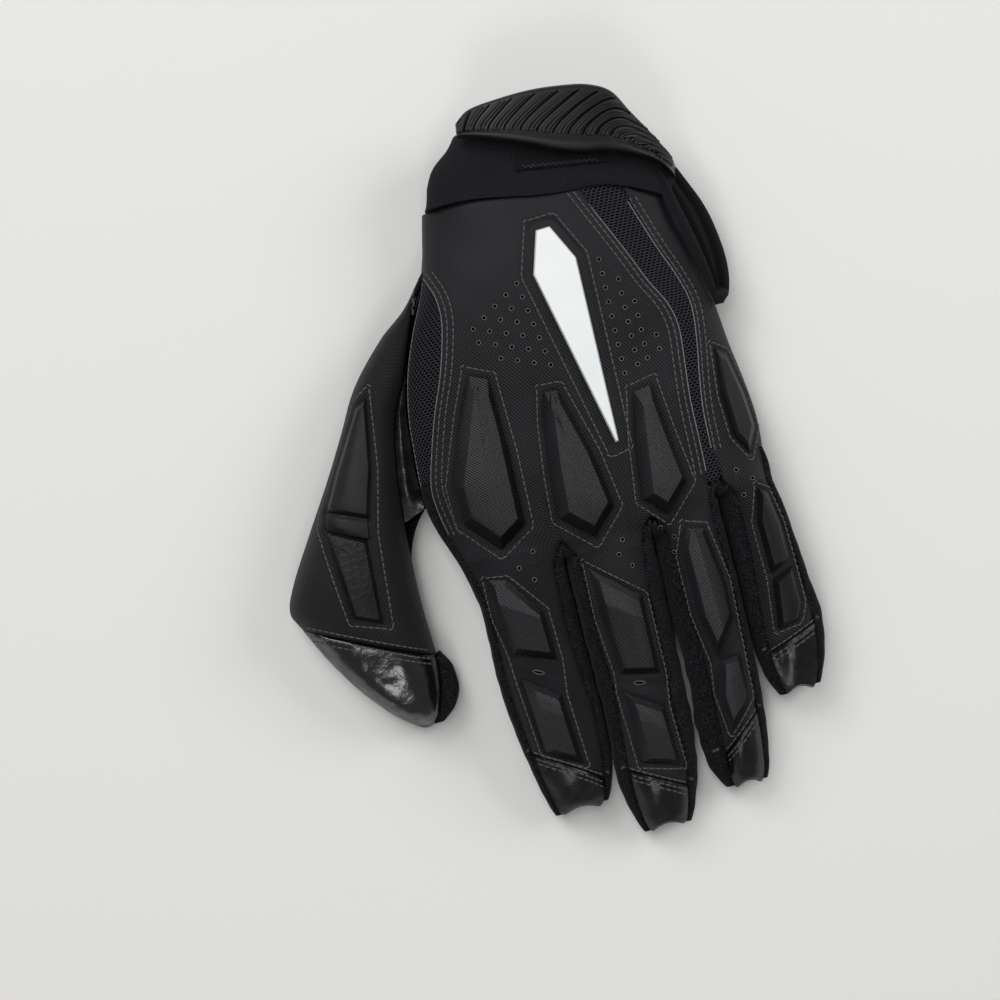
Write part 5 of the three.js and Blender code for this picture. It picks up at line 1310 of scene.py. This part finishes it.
def cuff_rings(inset, count=46, sides=132):
    columns = by_row(CUFF)
    angle = np.linspace(0, math.tau, sides, endpoint=False)
    rings = []
    for i, u in enumerate(np.linspace(0, len(CUFF) - 1, count)):
        left_x, left_y, right_x, right_y, top = (float(column(u)) for column in columns)
        middle = np.array([(left_x + right_x) / 2, (left_y + right_y) / 2])
        half = np.array([right_x, right_y]) - middle
        width = np.hypot(*half)
        from_end = min(i, count - 1 - i)
        roll_in = (0.9, 0.3, 0.05)[from_end] if from_end < 3 else 0.0
        shrink = inset + (roll_in if inset == 0 else -0.4 * roll_in)
        across = boxier(np.cos(angle)) * (width - shrink) / width
        up = boxier(np.sin(angle)) * (top / 2 - shrink)
        x, y, z = middle[0] + half[0] * across, middle[1] + half[1] * across, top / 2 + up
        y = y + max(1 - u, 0) * (cuff_seam(x) - (middle[1] + half[1] * across)) * (1 if u < 1 else 0)
        if inset == 0:
            folds = 0.35 * np.sin(5 * angle + 1.3 * u) * np.sin(math.pi * u / 4) * np.maximum(np.sin(angle), 0)
            z = z + folds
        rings.append(np.stack([x, y, np.maximum(z, 0.02)], 1))
    return np.array(rings)


shape = tube(cuff_rings(0.0), cuff_rings(NEOPRENE_WALL))
cuff_piece = piece("cuff_neoprene", shape, cuff_neoprene, ["cuff"], sharp=70)
cuff_skin = heights_on(cuff_piece)

# %% [markdown]
# ## The loop patch and the wrist strap
# The strap is moulded rubber with slanting ribs, and closes on a patch of loop cloth sewn to the cuff.
# Shrinkwrap would press both onto the cuff, folds and all. Only the patch should show them, so it reads the
# cuff's height below its points, and the stiffer strap follows the cuff's smooth section.

# %% The loop patch
PATCH_X, PATCH_Y = (-26, 26), (72, 64.5)    # the ends of the line that its lower edge follows
s, t = np.meshgrid(np.linspace(0, 1, 40), np.linspace(0.40, 0.90, 60))
patch_x, patch_y = mix(*PATCH_X, t) + 3 * s, mix(*PATCH_Y, t) + 8 * s
patch_base = cuff_skin(patch_x, patch_y)
patch_top = sheet_grid(patch_x, patch_y, patch_base + 1.0 + 0.08 * np.sin(37 * patch_x) * np.sin(41 * patch_y))
shape = wall(rolled(patch_top, drops=(0.5, 0.15, 0.0)), sheet_grid(patch_x, patch_y, patch_base + 0.05))
patch = piece("loop_patch_cloth", shape, hook_cloth, ["loop_patch"], sharp=70)


# %% The wrist strap
def cuff_top(x, y):
    """Height of the cuff's back under the strap, from the section at its middle."""
    left_x, left_y, right_x, right_y, top = CUFF[2]
    along = np.array([right_x - left_x, right_y - left_y])
    t = ((x - left_x) * along[0] + (y - left_y) * along[1]) / (along @ along)
    cosine = np.abs(np.clip(2 * t - 1, -1, 1)) ** (1 / CUFF_ROUND)
    return top / 2 + top / 2 * np.maximum(1 - cosine * cosine, 0) ** (CUFF_ROUND / 2)


strap_column = by_row(STRAP)
STRAP_STAND, STRAP_TILT, STRAP_WALL = 4.4, 1.6, 2.4


def strap_place(u, t):
    """x, y and the smooth height of the strap's upper side; u runs along it, t from its lower edge."""
    low_x, low_y, high_x, high_y, rise = (column(u) for column in strap_column)
    x, y = mix(low_x, high_x, t), mix(low_y, high_y, t)
    return x, y, np.maximum(cuff_top(x, y), 12) + STRAP_STAND + rise - STRAP_TILT * t * t


u, t = np.linspace(0, len(STRAP) - 1, 170)[:, None], np.linspace(0, 1, 48)[None, :]
strap_x, strap_y, strap_z = strap_place(u, t)
rim = 0.55 * (1 - ease(t, 0.10, 0.24)) - 0.25 * ease(t, 0.2, 0.3)
strap_outer = sheet_grid(strap_x, strap_y, strap_z + rim)
past_rim = (strap_x + 19.6) * 0.243 + (strap_y - 85.0) * 0.970
lying = np.minimum(strap_z - STRAP_WALL, np.maximum(cuff_top(strap_x, strap_y) + 0.4, strap_z - 6.5))
strap_under = mix(lying, strap_z - STRAP_WALL, ease(past_rim, -3.0, 0.5))
shape = wall(rolled(strap_outer, drops=(1.3, 0.5, 0.15)), sheet_grid(strap_x, strap_y, strap_under))
strap_piece = piece("wrist_strap_body", shape, strap_rubber, ["wrist_strap"], sharp=70)

# %% [markdown]
# ## The side tab
# A padded leaf of neoprene wraps the outer side of the wrist. Its rim is a thick bound edge round a hollow.
# Blown up as a cushion it would be thickest in the middle, so a rule by distance from the rim swells the edge.

# %% The side tab
tab_column = [curve(-SIDE_TAB[:, 0], SIDE_TAB[:, k]) for k in (1, 2, 3)]
tab_end = SIDE_TAB[-1, 0]
tab_y = np.linspace(SIDE_TAB[0, 0], tab_end, 110)
t = np.linspace(0, 1, 44)[None, :]


def tab_grid(inset, swell):
    left, right, low = (column(-tab_y)[:, None] for column in tab_column)
    top = back_height(left, tab_y[:, None]) + 2.8 - inset
    angle = math.pi / 2 * t
    x = mix(left, right - inset, np.sin(angle) ** 0.7)
    z = mix(low, top, np.cos(angle) ** 0.7)
    return sheet_grid(x, tab_y[:, None] + 0 * t, z) + swell * np.stack(
        [np.sin(angle) + 0 * z, 0 * z, np.cos(angle) + 0 * z], -1)


rim_distance = np.minimum(np.minimum(t, 1 - t) * 20, ((tab_y - tab_end) * 0.8)[:, None])
swell = (1.3 * np.exp(-((rim_distance - 1.8) / 1.1) ** 2) - 1.9 * ease(rim_distance, 2.6, 4.4))[..., None]
shape = wall(tab_grid(0.0, swell), tab_grid(2.2, 0.0))
tab = piece("side_tab_pad", shape, tab_neoprene, ["side_tab"], sharp=75)
# painted shade: the hollow inside the bound rim is darker, with a lighter middle
shade = 1 - 0.75 * ease(rim_distance, 2.4, 3.6) * (0.6 + 0.4 * ease(9.0 - rim_distance, 0.0, 2.0))
store(tab.data, "painted_shade", np.concatenate([shade.ravel(), shade.ravel()]))

# %% [markdown]
# ## What repeats: stitches, beads, eyelets and the net
# A glove has about eleven hundred stitches and as many mesh cells. Placed by hand they would never keep their
# pitch. Geometry Nodes lay one small shape along a path or on a set of points, so each is a short tree with its
# sizes as named inputs, turned into plain mesh.


# %% Helpers for Geometry Nodes
def rule(name, sizes, materials=("Material",)):
    """A new tree with named inputs, its input and output nodes and a function that adds and links nodes."""
    tree = bpy.data.node_groups.new(name, "GeometryNodeTree")
    tree.interface.new_socket("Geometry", in_out="INPUT", socket_type="NodeSocketGeometry")
    for key, value in sizes.items():
        tree.interface.new_socket(key, in_out="INPUT", socket_type="NodeSocketFloat").default_value = value
    for key in materials:
        tree.interface.new_socket(key, in_out="INPUT", socket_type="NodeSocketMaterial")
    tree.interface.new_socket("Geometry", in_out="OUTPUT", socket_type="NodeSocketGeometry")
    start, end = tree.nodes.new("NodeGroupInput"), tree.nodes.new("NodeGroupOutput")
    return tree, start.outputs, end.inputs, node_maker(tree)


def upright(node, along=None):
    """A rotation with Z on the surface's normal and X along the path."""
    up = node("GeometryNodeInputNamedAttribute", {"Name": "up"}, data_type="FLOAT_VECTOR")
    first = node("FunctionNodeAlignRotationToVector", {"Vector": up.outputs["Attribute"]}, axis="Z")
    if along is None:
        named = node("GeometryNodeInputNamedAttribute", {"Name": "along"}, data_type="FLOAT_VECTOR")
        along = named.outputs["Attribute"]
    second = node("FunctionNodeAlignRotationToVector", {"Rotation": first.outputs[0], "Vector": along},
                  axis="X", pivot_axis="Z")
    return second.outputs[0]


def times(node, value, factor):
    return node("ShaderNodeMath", {0: value, 1: factor}, operation="MULTIPLY").outputs[0]


def circle(node, sides, radius):
    return node("GeometryNodeCurvePrimitiveCircle", {"Resolution": sides, "Radius": radius}, mode="RADIUS").outputs[0]


def swept(node, path, sides, radius, **caps):
    """A cord of some sides and radius along a path."""
    profile = circle(node, sides, radius)
    return node("GeometryNodeCurveToMesh", {"Curve": path, "Profile Curve": profile, **caps}).outputs[0]


def evenly(node, geometry, step):
    """The edges of a guide as paths, with a point every step."""
    path = node("GeometryNodeMeshToCurve", {"Mesh": geometry})
    return node("GeometryNodeResampleCurve", {"Curve": path.outputs[0], "Length": step}, mode="LENGTH").outputs[0]


def copied(node, points, shape, turned):
    made = node("GeometryNodeInstanceOnPoints", {"Points": points, "Instance": shape, "Rotation": turned})
    return made.outputs[0]


def finished(node, geometry, material):
    """Real meshes instead of instances, smooth, with their material."""
    real = node("GeometryNodeRealizeInstances", {"Geometry": geometry})
    smooth = node("GeometryNodeSetShadeSmooth", {"Geometry": real.outputs[0]})
    return node("GeometryNodeSetMaterial", {"Geometry": smooth.outputs[0], "Material": material}).outputs[0]


def baked(name, mesh, tree, values, nodes):
    """Runs a tree over a mesh of points or paths and keeps the result as a plain mesh."""
    made = bpy.data.objects.new(name, mesh)
    bpy.context.scene.collection.objects.link(made)
    modifier = made.modifiers.new("rule", "NODES")
    modifier.node_group = tree
    for item in tree.interface.items_tree:
        if item.in_out == "INPUT" and item.name in values:
            modifier[item.identifier] = values[item.name]
    made.update_tag()
    result = bpy.data.meshes.new_from_object(made.evaluated_get(bpy.context.evaluated_depsgraph_get()))
    made.modifiers.clear()
    made.data = result
    return ride(made, nodes)


# %% The stitch tree: a short arch of thread with its ends sunk
CAPPED = {"Fill Caps": True}
stitch_rule, given, wanted, node = rule("stitch_rows", {"Pitch": 1.95 * MM, "Length": 1.5 * MM, "Thread": 0.26 * MM})
half, back_half = (times(node, given["Length"], share) for share in (0.5, -0.5))
dip, rise = (times(node, given["Thread"], share) for share in (-1.2, 1.6))
stitch_start = node("ShaderNodeCombineXYZ", {"X": back_half, "Z": dip}).outputs[0]
stitch_end = node("ShaderNodeCombineXYZ", {"X": half, "Z": dip}).outputs[0]
crown = node("ShaderNodeCombineXYZ", {"Z": rise}).outputs[0]
arch = node("GeometryNodeCurveQuadraticBezier", {"Resolution": 4, "Start": stitch_start, "Middle": crown,
                                                 "End": stitch_end}).outputs[0]
turned = upright(node, node("GeometryNodeInputTangent").outputs[0])
laid = copied(node, evenly(node, given["Geometry"], given["Pitch"]), swept(node, arch, 5, given["Thread"], **CAPPED),
              turned)
stitch_rule.links.new(finished(node, laid, given["Material"]), wanted[0])

# %% The bead tree: a cord along each path, thick or thin by a number on its points
bead_rule, given, wanted, node = rule("beads", {"Radius": 0.2 * MM, "Step": 0.8 * MM})
girth = node("GeometryNodeInputNamedAttribute", {"Name": "girth"}, data_type="FLOAT").outputs["Attribute"]
path = node("GeometryNodeSetCurveRadius", {"Curve": evenly(node, given["Geometry"], given["Step"]), "Radius": girth})
cord = swept(node, path.outputs[0], 7, given["Radius"], **CAPPED)
bead_rule.links.new(finished(node, cord, given["Material"]), wanted[0])

# %% The eyelet tree: a disc of painted shade for the hole, with a fine rim
eyelet_rule, given, wanted, node = rule(
    "eyelets", {"Radius": 0.6 * MM, "Rim": 0.1 * MM}, ("Rim material", "Hole material"))
turned = upright(node)
rim_shape = swept(node, circle(node, 12, given["Radius"]), 5, given["Rim"])
disc = node("GeometryNodeMeshCylinder", {"Vertices": 12, "Radius": given["Radius"], "Depth": 0.12 * MM}).outputs[0]
both = node("GeometryNodeJoinGeometry")
for part, material in ((rim_shape, "Rim material"), (disc, "Hole material")):
    placed = copied(node, given["Geometry"], part, turned)
    eyelet_rule.links.new(finished(node, placed, given[material]), both.inputs[0])
eyelet_rule.links.new(both.outputs[0], wanted[0])

# %% The net tree: long hexagonal cells
net_rule, given, wanted, node = rule(
    "net_cells", {"Half length": 0.78 * MM, "Half width": 0.5 * MM, "Yarn": 0.13 * MM})
stretch = node("ShaderNodeCombineXYZ", {"X": given["Half length"], "Y": given["Half width"], "Z": 1.0}).outputs[0]
longer = node("GeometryNodeTransform", {"Geometry": circle(node, 6, 1.0), "Scale": stretch}).outputs[0]
laid = copied(node, given["Geometry"], swept(node, longer, 4, given["Yarn"]), upright(node))
net_rule.links.new(finished(node, laid, given["Material"]), wanted[0])
print("trees:", len(bpy.data.node_groups))


# %% Paths and points on a surface
def ups(height, x, y):
    """Unit normals of a surface given by its height."""
    slope_x = (height(x + 0.25, y) - height(x - 0.25, y)) / 0.5
    slope_y = (height(x, y + 0.25) - height(x, y - 0.25)) / 0.5
    normal = np.stack([-slope_x, -slope_y, np.ones_like(slope_x)], -1)
    return normal / np.linalg.norm(normal, axis=-1, keepdims=True)


def guide(points, edges, **columns):
    """A mesh of points and edges in millimetres that carries values for a tree."""
    mesh = bpy.data.meshes.new("guide")
    mesh.from_pydata((np.asarray(points) * MM).tolist(), edges, [])
    for key, values in columns.items():
        values = np.asarray(values, np.float32)
        kind, field = ("FLOAT_VECTOR", "vector") if values.ndim == 2 else ("FLOAT", "value")
        mesh.attributes.new(key, kind, "POINT").data.foreach_set(field, values.ravel())
    return mesh


def drawn(path, closed=False, step=0.7):
    """Places every step along a path of straight pieces."""
    path = np.asarray(path, float)
    if closed:
        path = np.vstack([path, path[:1]])
    length = np.r_[0, np.cumsum(np.linalg.norm(np.diff(path, axis=0), axis=1))]
    at = np.linspace(0, length[-1], max(int(length[-1] / step), 2) + 1)
    return np.stack([np.interp(at, length, path[:, k]) for k in range(path.shape[1])], 1)


def rows_on(height, rows, lift):
    """One guide for many rows laid on a surface."""
    points, edges, normals = [], [], []
    for path, closed in rows:
        flat = drawn(path, closed)
        if closed:
            flat = flat[:-1]
        x, y = flat.T
        first = sum(len(part) for part in points)
        points.append(np.stack([x, y, height(x, y) + lift], 1))
        normals.append(ups(height, x, y))
        edges += [(first + k, first + k + 1) for k in range(len(x) - 1)]
        if closed:
            edges.append((first + len(x) - 1, first))
    points = np.concatenate(points)
    return guide(points, edges, up=np.concatenate(normals), girth=np.ones(len(points)))


def points_on(height, places, lift, turn=0.0):
    """A guide of single points on a surface, turned about its normals."""
    x, y = np.asarray(places, float).T
    along = np.tile([math.cos(turn), math.sin(turn), 0.0], (len(x), 1))
    return guide(np.stack([x, y, height(x, y) + lift], 1), [], up=ups(height, x, y), along=along)


# %% Rows of stitches
def stitched(name, height, rows, lift, node_name):
    """Rows of stitches in the seams' thread, laid a little above a surface."""
    baked(f"{name}_stitches", rows_on(height, rows, lift), stitch_rule, {"Material": seam_thread}, [node_name])


def thumb_row(section, offset, shift=0.0):
    """A row of stitches across the thumb at one of its sections, moved along the hand and across it."""
    out_x, out_y, in_x, in_y = (column(section) for column in thumb_column[:4])
    t = np.linspace(0.08, 0.94, 30)
    return np.stack([mix(out_x, in_x, t) + shift, mix(out_y, in_y, t) + offset], 1), False


stitched("back", skin, back_rows, 0.16, "back_panel")
stitched("outer", outer_skin, outer_rows, 0.16, "outer_panel")
root_rows = [thumb_row(1, offset, shift=-1.2) for offset in (-2.2, -3.6)]
stitched("thumb", thumb_skin, [*thumb_rows, thumb_row(THUMB_SEAM, 1.3), *root_rows], 0.12,
         "thumb_back")
tip_rows = [thumb_row(THUMB_SEAM, offset) for offset in (-1.3, -2.9)]
stitched("thumb_tip", heights_on(thumb_tip_piece), tip_rows, 0.1, "thumb_tip")
for name in all_fingers:
    cap_skin = heights_on(bpy.data.objects[f"{name}_tip_cap"])
    cap_rows = [(cap_row(name, offset), False) for offset in (-1.1, -2.6)]
    stitched(f"{name}_cap", cap_skin, cap_rows, 0.1, f"fingertip_{name}")

# %% [markdown]
# ### Eyelets
# Vent holes in slanting columns on both sides of the emblem, and a few at the roots of the fingers. Booleans
# would cut the cloth's even mesh to slivers, so each is a disc of painted shade for the dark inside of the hole,
# in a fine rim, laid on the cloth.

# %% Eyelets
left_columns = [(7, 0), (6, 1), (5, 2), (4, 3), (2, 4)]
vents = [(-12.6 - 3.83 * k + 0.63 * i, 37.4 - 2.42 * k - 4.19 * i) for count, k in left_columns for i in range(count)]
for (x, y), count in zip([(12.0, 38.4), (16.1, 31.6), (19.1, 24.3), (22.8, 13.5)], (9, 7, 5, 2)):
    vents += [(x - 0.1 * i, y - 4.19 * i) for i in range(count)]
vents += [(-26.7, -38.5), (-31.7, -42.2), (-28.2, -46.5), (-0.8, -41.4), (-2.9, -45.3), (0.2, -49.3),
          (10.8, -40.7), (14.0, -44.2), (13.0, -48.6)]
side_vents = [(36.2, -29.9), (40.1, -33.3), (36.6, -37.4)]
rims = {"Rim material": eyelet_rim, "Hole material": painted_hole_shade}
baked("back_eyelets", points_on(skin, vents, 0.08), eyelet_rule, rims, ["back_panel"])
baked("outer_eyelets", points_on(outer_skin, side_vents, 0.08), eyelet_rule, rims, ["outer_panel"])

# %% [markdown]
# ### The net of the gussets
# Rows of long cells, every second row set off by half a cell, on the dark ground made earlier. An array
# can't follow a strip that changes its width, so the rows are counted off along the ground's own grid.


# %% The net
NET_ROW, NET_CELL = 0.86, 1.48    # from row to row, and from cell to cell in a row


def net_over(name, grid, node_name):
    """Lays cells over the whole of a ground's grid."""
    rows, columns = grid.shape[:2]
    length = np.r_[0, np.cumsum(np.linalg.norm(np.diff(grid[:, columns // 2], axis=0), axis=1))]
    places = []
    for i, at in enumerate(np.arange(0.5, length[-1] - 0.4, NET_ROW)):
        row = np.interp(at, length, np.arange(rows))
        low = min(int(row), rows - 2)
        line = mix(grid[low], grid[low + 1], row - low)
        across = np.r_[0, np.cumsum(np.linalg.norm(np.diff(line, axis=0), axis=1))]
        for spot in np.arange(0.5 + NET_CELL / 2 * (i % 2), across[-1] - 0.3, NET_CELL):
            places.append([np.interp(spot, across, line[:, k]) for k in range(3)])
    places = np.array(places)
    along = np.tile([1.0, 0.12, 0.0], (len(places), 1))
    mesh = guide(places + [0, 0, 0.12], [], up=ups(back_height, *places[:, :2].T), along=along)
    baked(name, mesh, net_rule, {"Material": net_knit}, [node_name])


net_over("thumb_gusset_net", thumb_gusset_grid, "thumb_gusset")
net_over("outer_gusset_net", outer_gusset_grid, "outer_gusset")

# %% [markdown]
# ### Raw edges and ribs
# The cut edges of the laminated cloth show a thin pale line of foam. The strap's slanting ribs are pairs of
# beads that rise from its smooth rim. A bump would be lost at their outlines. Both are one bead tree with
# different radii.

# %% Raw edges
def beaded(name, paths, radius, material, node_name):
    """Beads of a radius in millimetres along the paths of a guide."""
    baked(name, paths, bead_rule, {"Radius": radius * MM, "Material": material}, [node_name])


panel_cuts = [(edge_row((0, 1), 0.1, slice(2, 12)), False), (edge_row((2, 3), -0.1), False)]
outer_cut = [(np.stack([outer_edge(outer_row_y) + 0.25, outer_row_y], 1), False)]
gusset_cut = [(thumb_side_edge + [0.1, 0], False)]
beaded("panel_raw_edges", rows_on(back_height, panel_cuts, -0.55), 0.17, raw_edge, "back_panel")
beaded("outer_raw_edge", rows_on(back_height, outer_cut, -0.55), 0.17, raw_edge, "outer_panel")
beaded("gusset_raw_edge", rows_on(back_height, gusset_cut, -0.6), 0.17, raw_edge, "thumb_gusset")


# %% Vent slots, the patch's zigzag and the bar tacks
def arc_row(x, y, half_x, half_y, turn):
    """A closed oval round a place, turned by an angle."""
    angle = np.linspace(0, math.tau, 20, endpoint=False)
    across, along = half_x * np.cos(angle), half_y * np.sin(angle)
    return np.stack([x + across * math.cos(turn) - along * math.sin(turn),
                     y + across * math.sin(turn) + along * math.cos(turn)], 1)


SLOTS = [(-33.6, -72.9, -0.45), (-6.0, -82.9, -0.2)]
ovals = [(arc_row(x, y, 1.9, 0.5, turn), True) for x, y, turn in SLOTS]
beaded("vent_slot_threads", rows_on(skin, ovals, 0.15), 0.22, seam_thread, "back_panel")
# painted shade: each slot's opening is a dark cord sunk into the cloth
holes = [(np.array([(x - math.cos(turn), y - math.sin(turn)), (x + math.cos(turn), y + math.sin(turn))]), False)
         for x, y, turn in SLOTS]
beaded("slot_holes", rows_on(skin, holes, -0.25), 0.6, painted_hole_shade, "back_panel")
zigzag_at = np.arange(0.44, 0.86, 0.014)
zigzag_side = 0.7 * (-1) ** np.arange(len(zigzag_at))
zigzag = np.stack([mix(*PATCH_X, zigzag_at) + 0.4, mix(*PATCH_Y, zigzag_at) + 0.9 + zigzag_side], 1)
beaded("patch_zigzag", rows_on(heights_on(patch), [(zigzag, False)], 0.1), 0.12, patch_thread,
       "loop_patch")
for name in all_fingers:
    for side, across in (("left", 0), ("right", 1)):
        strip, node_name = strips[name, side]
        y = float(cap_line(name, across)) + 1.5
        inner_x, outer_x = float(finger_edge(name, side, y)), float(finger[name]["wall_" + side](y))
        ends_x = mix(inner_x, outer_x, 0.3), mix(inner_x, outer_x, 0.62)
        tacks = [(np.array([(ends_x[0], y + lift), (ends_x[1], y - 0.3 + lift)]), False) for lift in (0, 0.45)]
        beaded(f"tack_{name}_{side}", rows_on(heights_on(strip), tacks, 0.05), 0.14, seam_thread,
               node_name)

# %% Ribs of the strap
strap_skin = heights_on(strap_piece)


def slanting(places, sunk, thin, last):
    """A guide of slanting lines on the strap, from their places at its rim, thick in the middle."""
    points, edges, girth = [], [], []
    for start, beside in places:
        reach = 0.55 + 1.75 * ease(start, -0.6, 6.5)
        s = np.linspace(0, 1, 24)
        u = start + beside + reach * s ** 1.25
        t = 0.235 + 0.665 * s ** 0.85
        shown = (u > 0.12) & (u < last)
        if shown.sum() < 6:
            continue
        x, y, _ = strap_place(u[shown], t[shown])
        first = len(points)
        points += (np.stack([x, y, strap_skin(x, y)], 1) - sunk * ups(strap_skin, x, y)).tolist()
        edges += [(first + i, first + i + 1) for i in range(len(x) - 1)]
        girth += (thin + (1 - thin) * np.sin(math.pi * np.linspace(0.06, 0.94, len(x))) ** 0.5).tolist()
    return guide(points, edges, girth=girth)


RIB_PITCH, RIB_COUNT = 0.56, 18
rib_starts = -1.0 + RIB_PITCH * np.arange(RIB_COUNT)
ribs = slanting([(start, beside) for start in rib_starts for beside in (0.0, 0.15)], 0.18, 0.35, 8.75)
# painted shade: the grooves are dark cords sunk almost level with the strap, in place of real depth
grooves = slanting([(start, 0.355) for start in rib_starts], 1.36, 0.88, 8.2)
beaded("wrist_strap_ribs", ribs, 0.62, strap_rubber, "wrist_strap")
beaded("wrist_strap_grooves", grooves, 1.5, painted_groove_shade, "wrist_strap")

# %% [markdown]
# ## Table, light and camera
# The glove lies on a plain pale table under wide, soft light, and is seen from straight above. A picture of a
# room would light it too, but four square lights can each be set by itself, and a few numbers say them all.

# %% Table
TABLE_REACH, TABLE_DROP = 3.0, 0.0003
corners = [(x * TABLE_REACH, y * TABLE_REACH, -TABLE_DROP) for x, y in ((-1, -1), (1, -1), (1, 1), (-1, 1))]
table_mesh = bpy.data.meshes.new("table_top")
table_mesh.from_pydata(corners, [], [(0, 1, 2, 3)])
table_top = bpy.data.objects.new("table_top", table_mesh)
bpy.context.scene.collection.objects.link(table_top)
table_mesh.materials.append(finish("pale_table", (0.86, 0.855, 0.845), 0.9, Specular_IOR_Level=0.1)[0])
print("table:", 2 * TABLE_REACH, "m wide")

# %% Light
world = bpy.data.worlds.new("soft_room")
bpy.context.scene.world = world
world.use_nodes = True
background = world.node_tree.nodes["Background"]
background.inputs["Color"].default_value = (1.0, 0.99, 0.97, 1)
background.inputs["Strength"].default_value = 0.2
# place, width and power; each faces the middle of the glove
LIGHTS = {
    "window": ((-0.5, 0.95, 1.0), 0.8, 9.0),
    "ceiling": ((-0.15, 0.3, 1.4), 0.6, 3.9),
    "side": ((1.0, 0.25, 0.7), 0.6, 5.0),
    "glint": ((-0.3, -0.8, 1.0), 0.35, 2.2),
}
for name, (place, width, power) in LIGHTS.items():
    light = bpy.data.lights.new(name, "AREA")
    light.shape, light.size, light.energy = "SQUARE", width, power
    made = bpy.data.objects.new(name, light)
    bpy.context.scene.collection.objects.link(made)
    made.location = place
    made.rotation_euler = (-Vector(place)).to_track_quat("-Z", "Y").to_euler()
print("lights:", len(LIGHTS))

# %% Camera
SENSOR = 36              # millimetres
BACK_DISTANCE = 0.72     # metres from the camera to the plane of the glove's back
BACK_WIDTH = 0.29        # metres of that plane across the picture
camera = bpy.data.objects.new("camera", bpy.data.cameras.new("camera"))
bpy.context.scene.collection.objects.link(camera)
camera.data.sensor_width = SENSOR
camera.data.lens = SENSOR * BACK_DISTANCE / BACK_WIDTH
camera.location = (-0.0323, -0.0218, 0.74)
camera.rotation_euler = (0, 0, math.radians(-14))
bpy.context.scene.camera = camera
bpy.context.scene.view_settings.view_transform = "Standard"
print("lens:", round(camera.data.lens, 1), "mm")
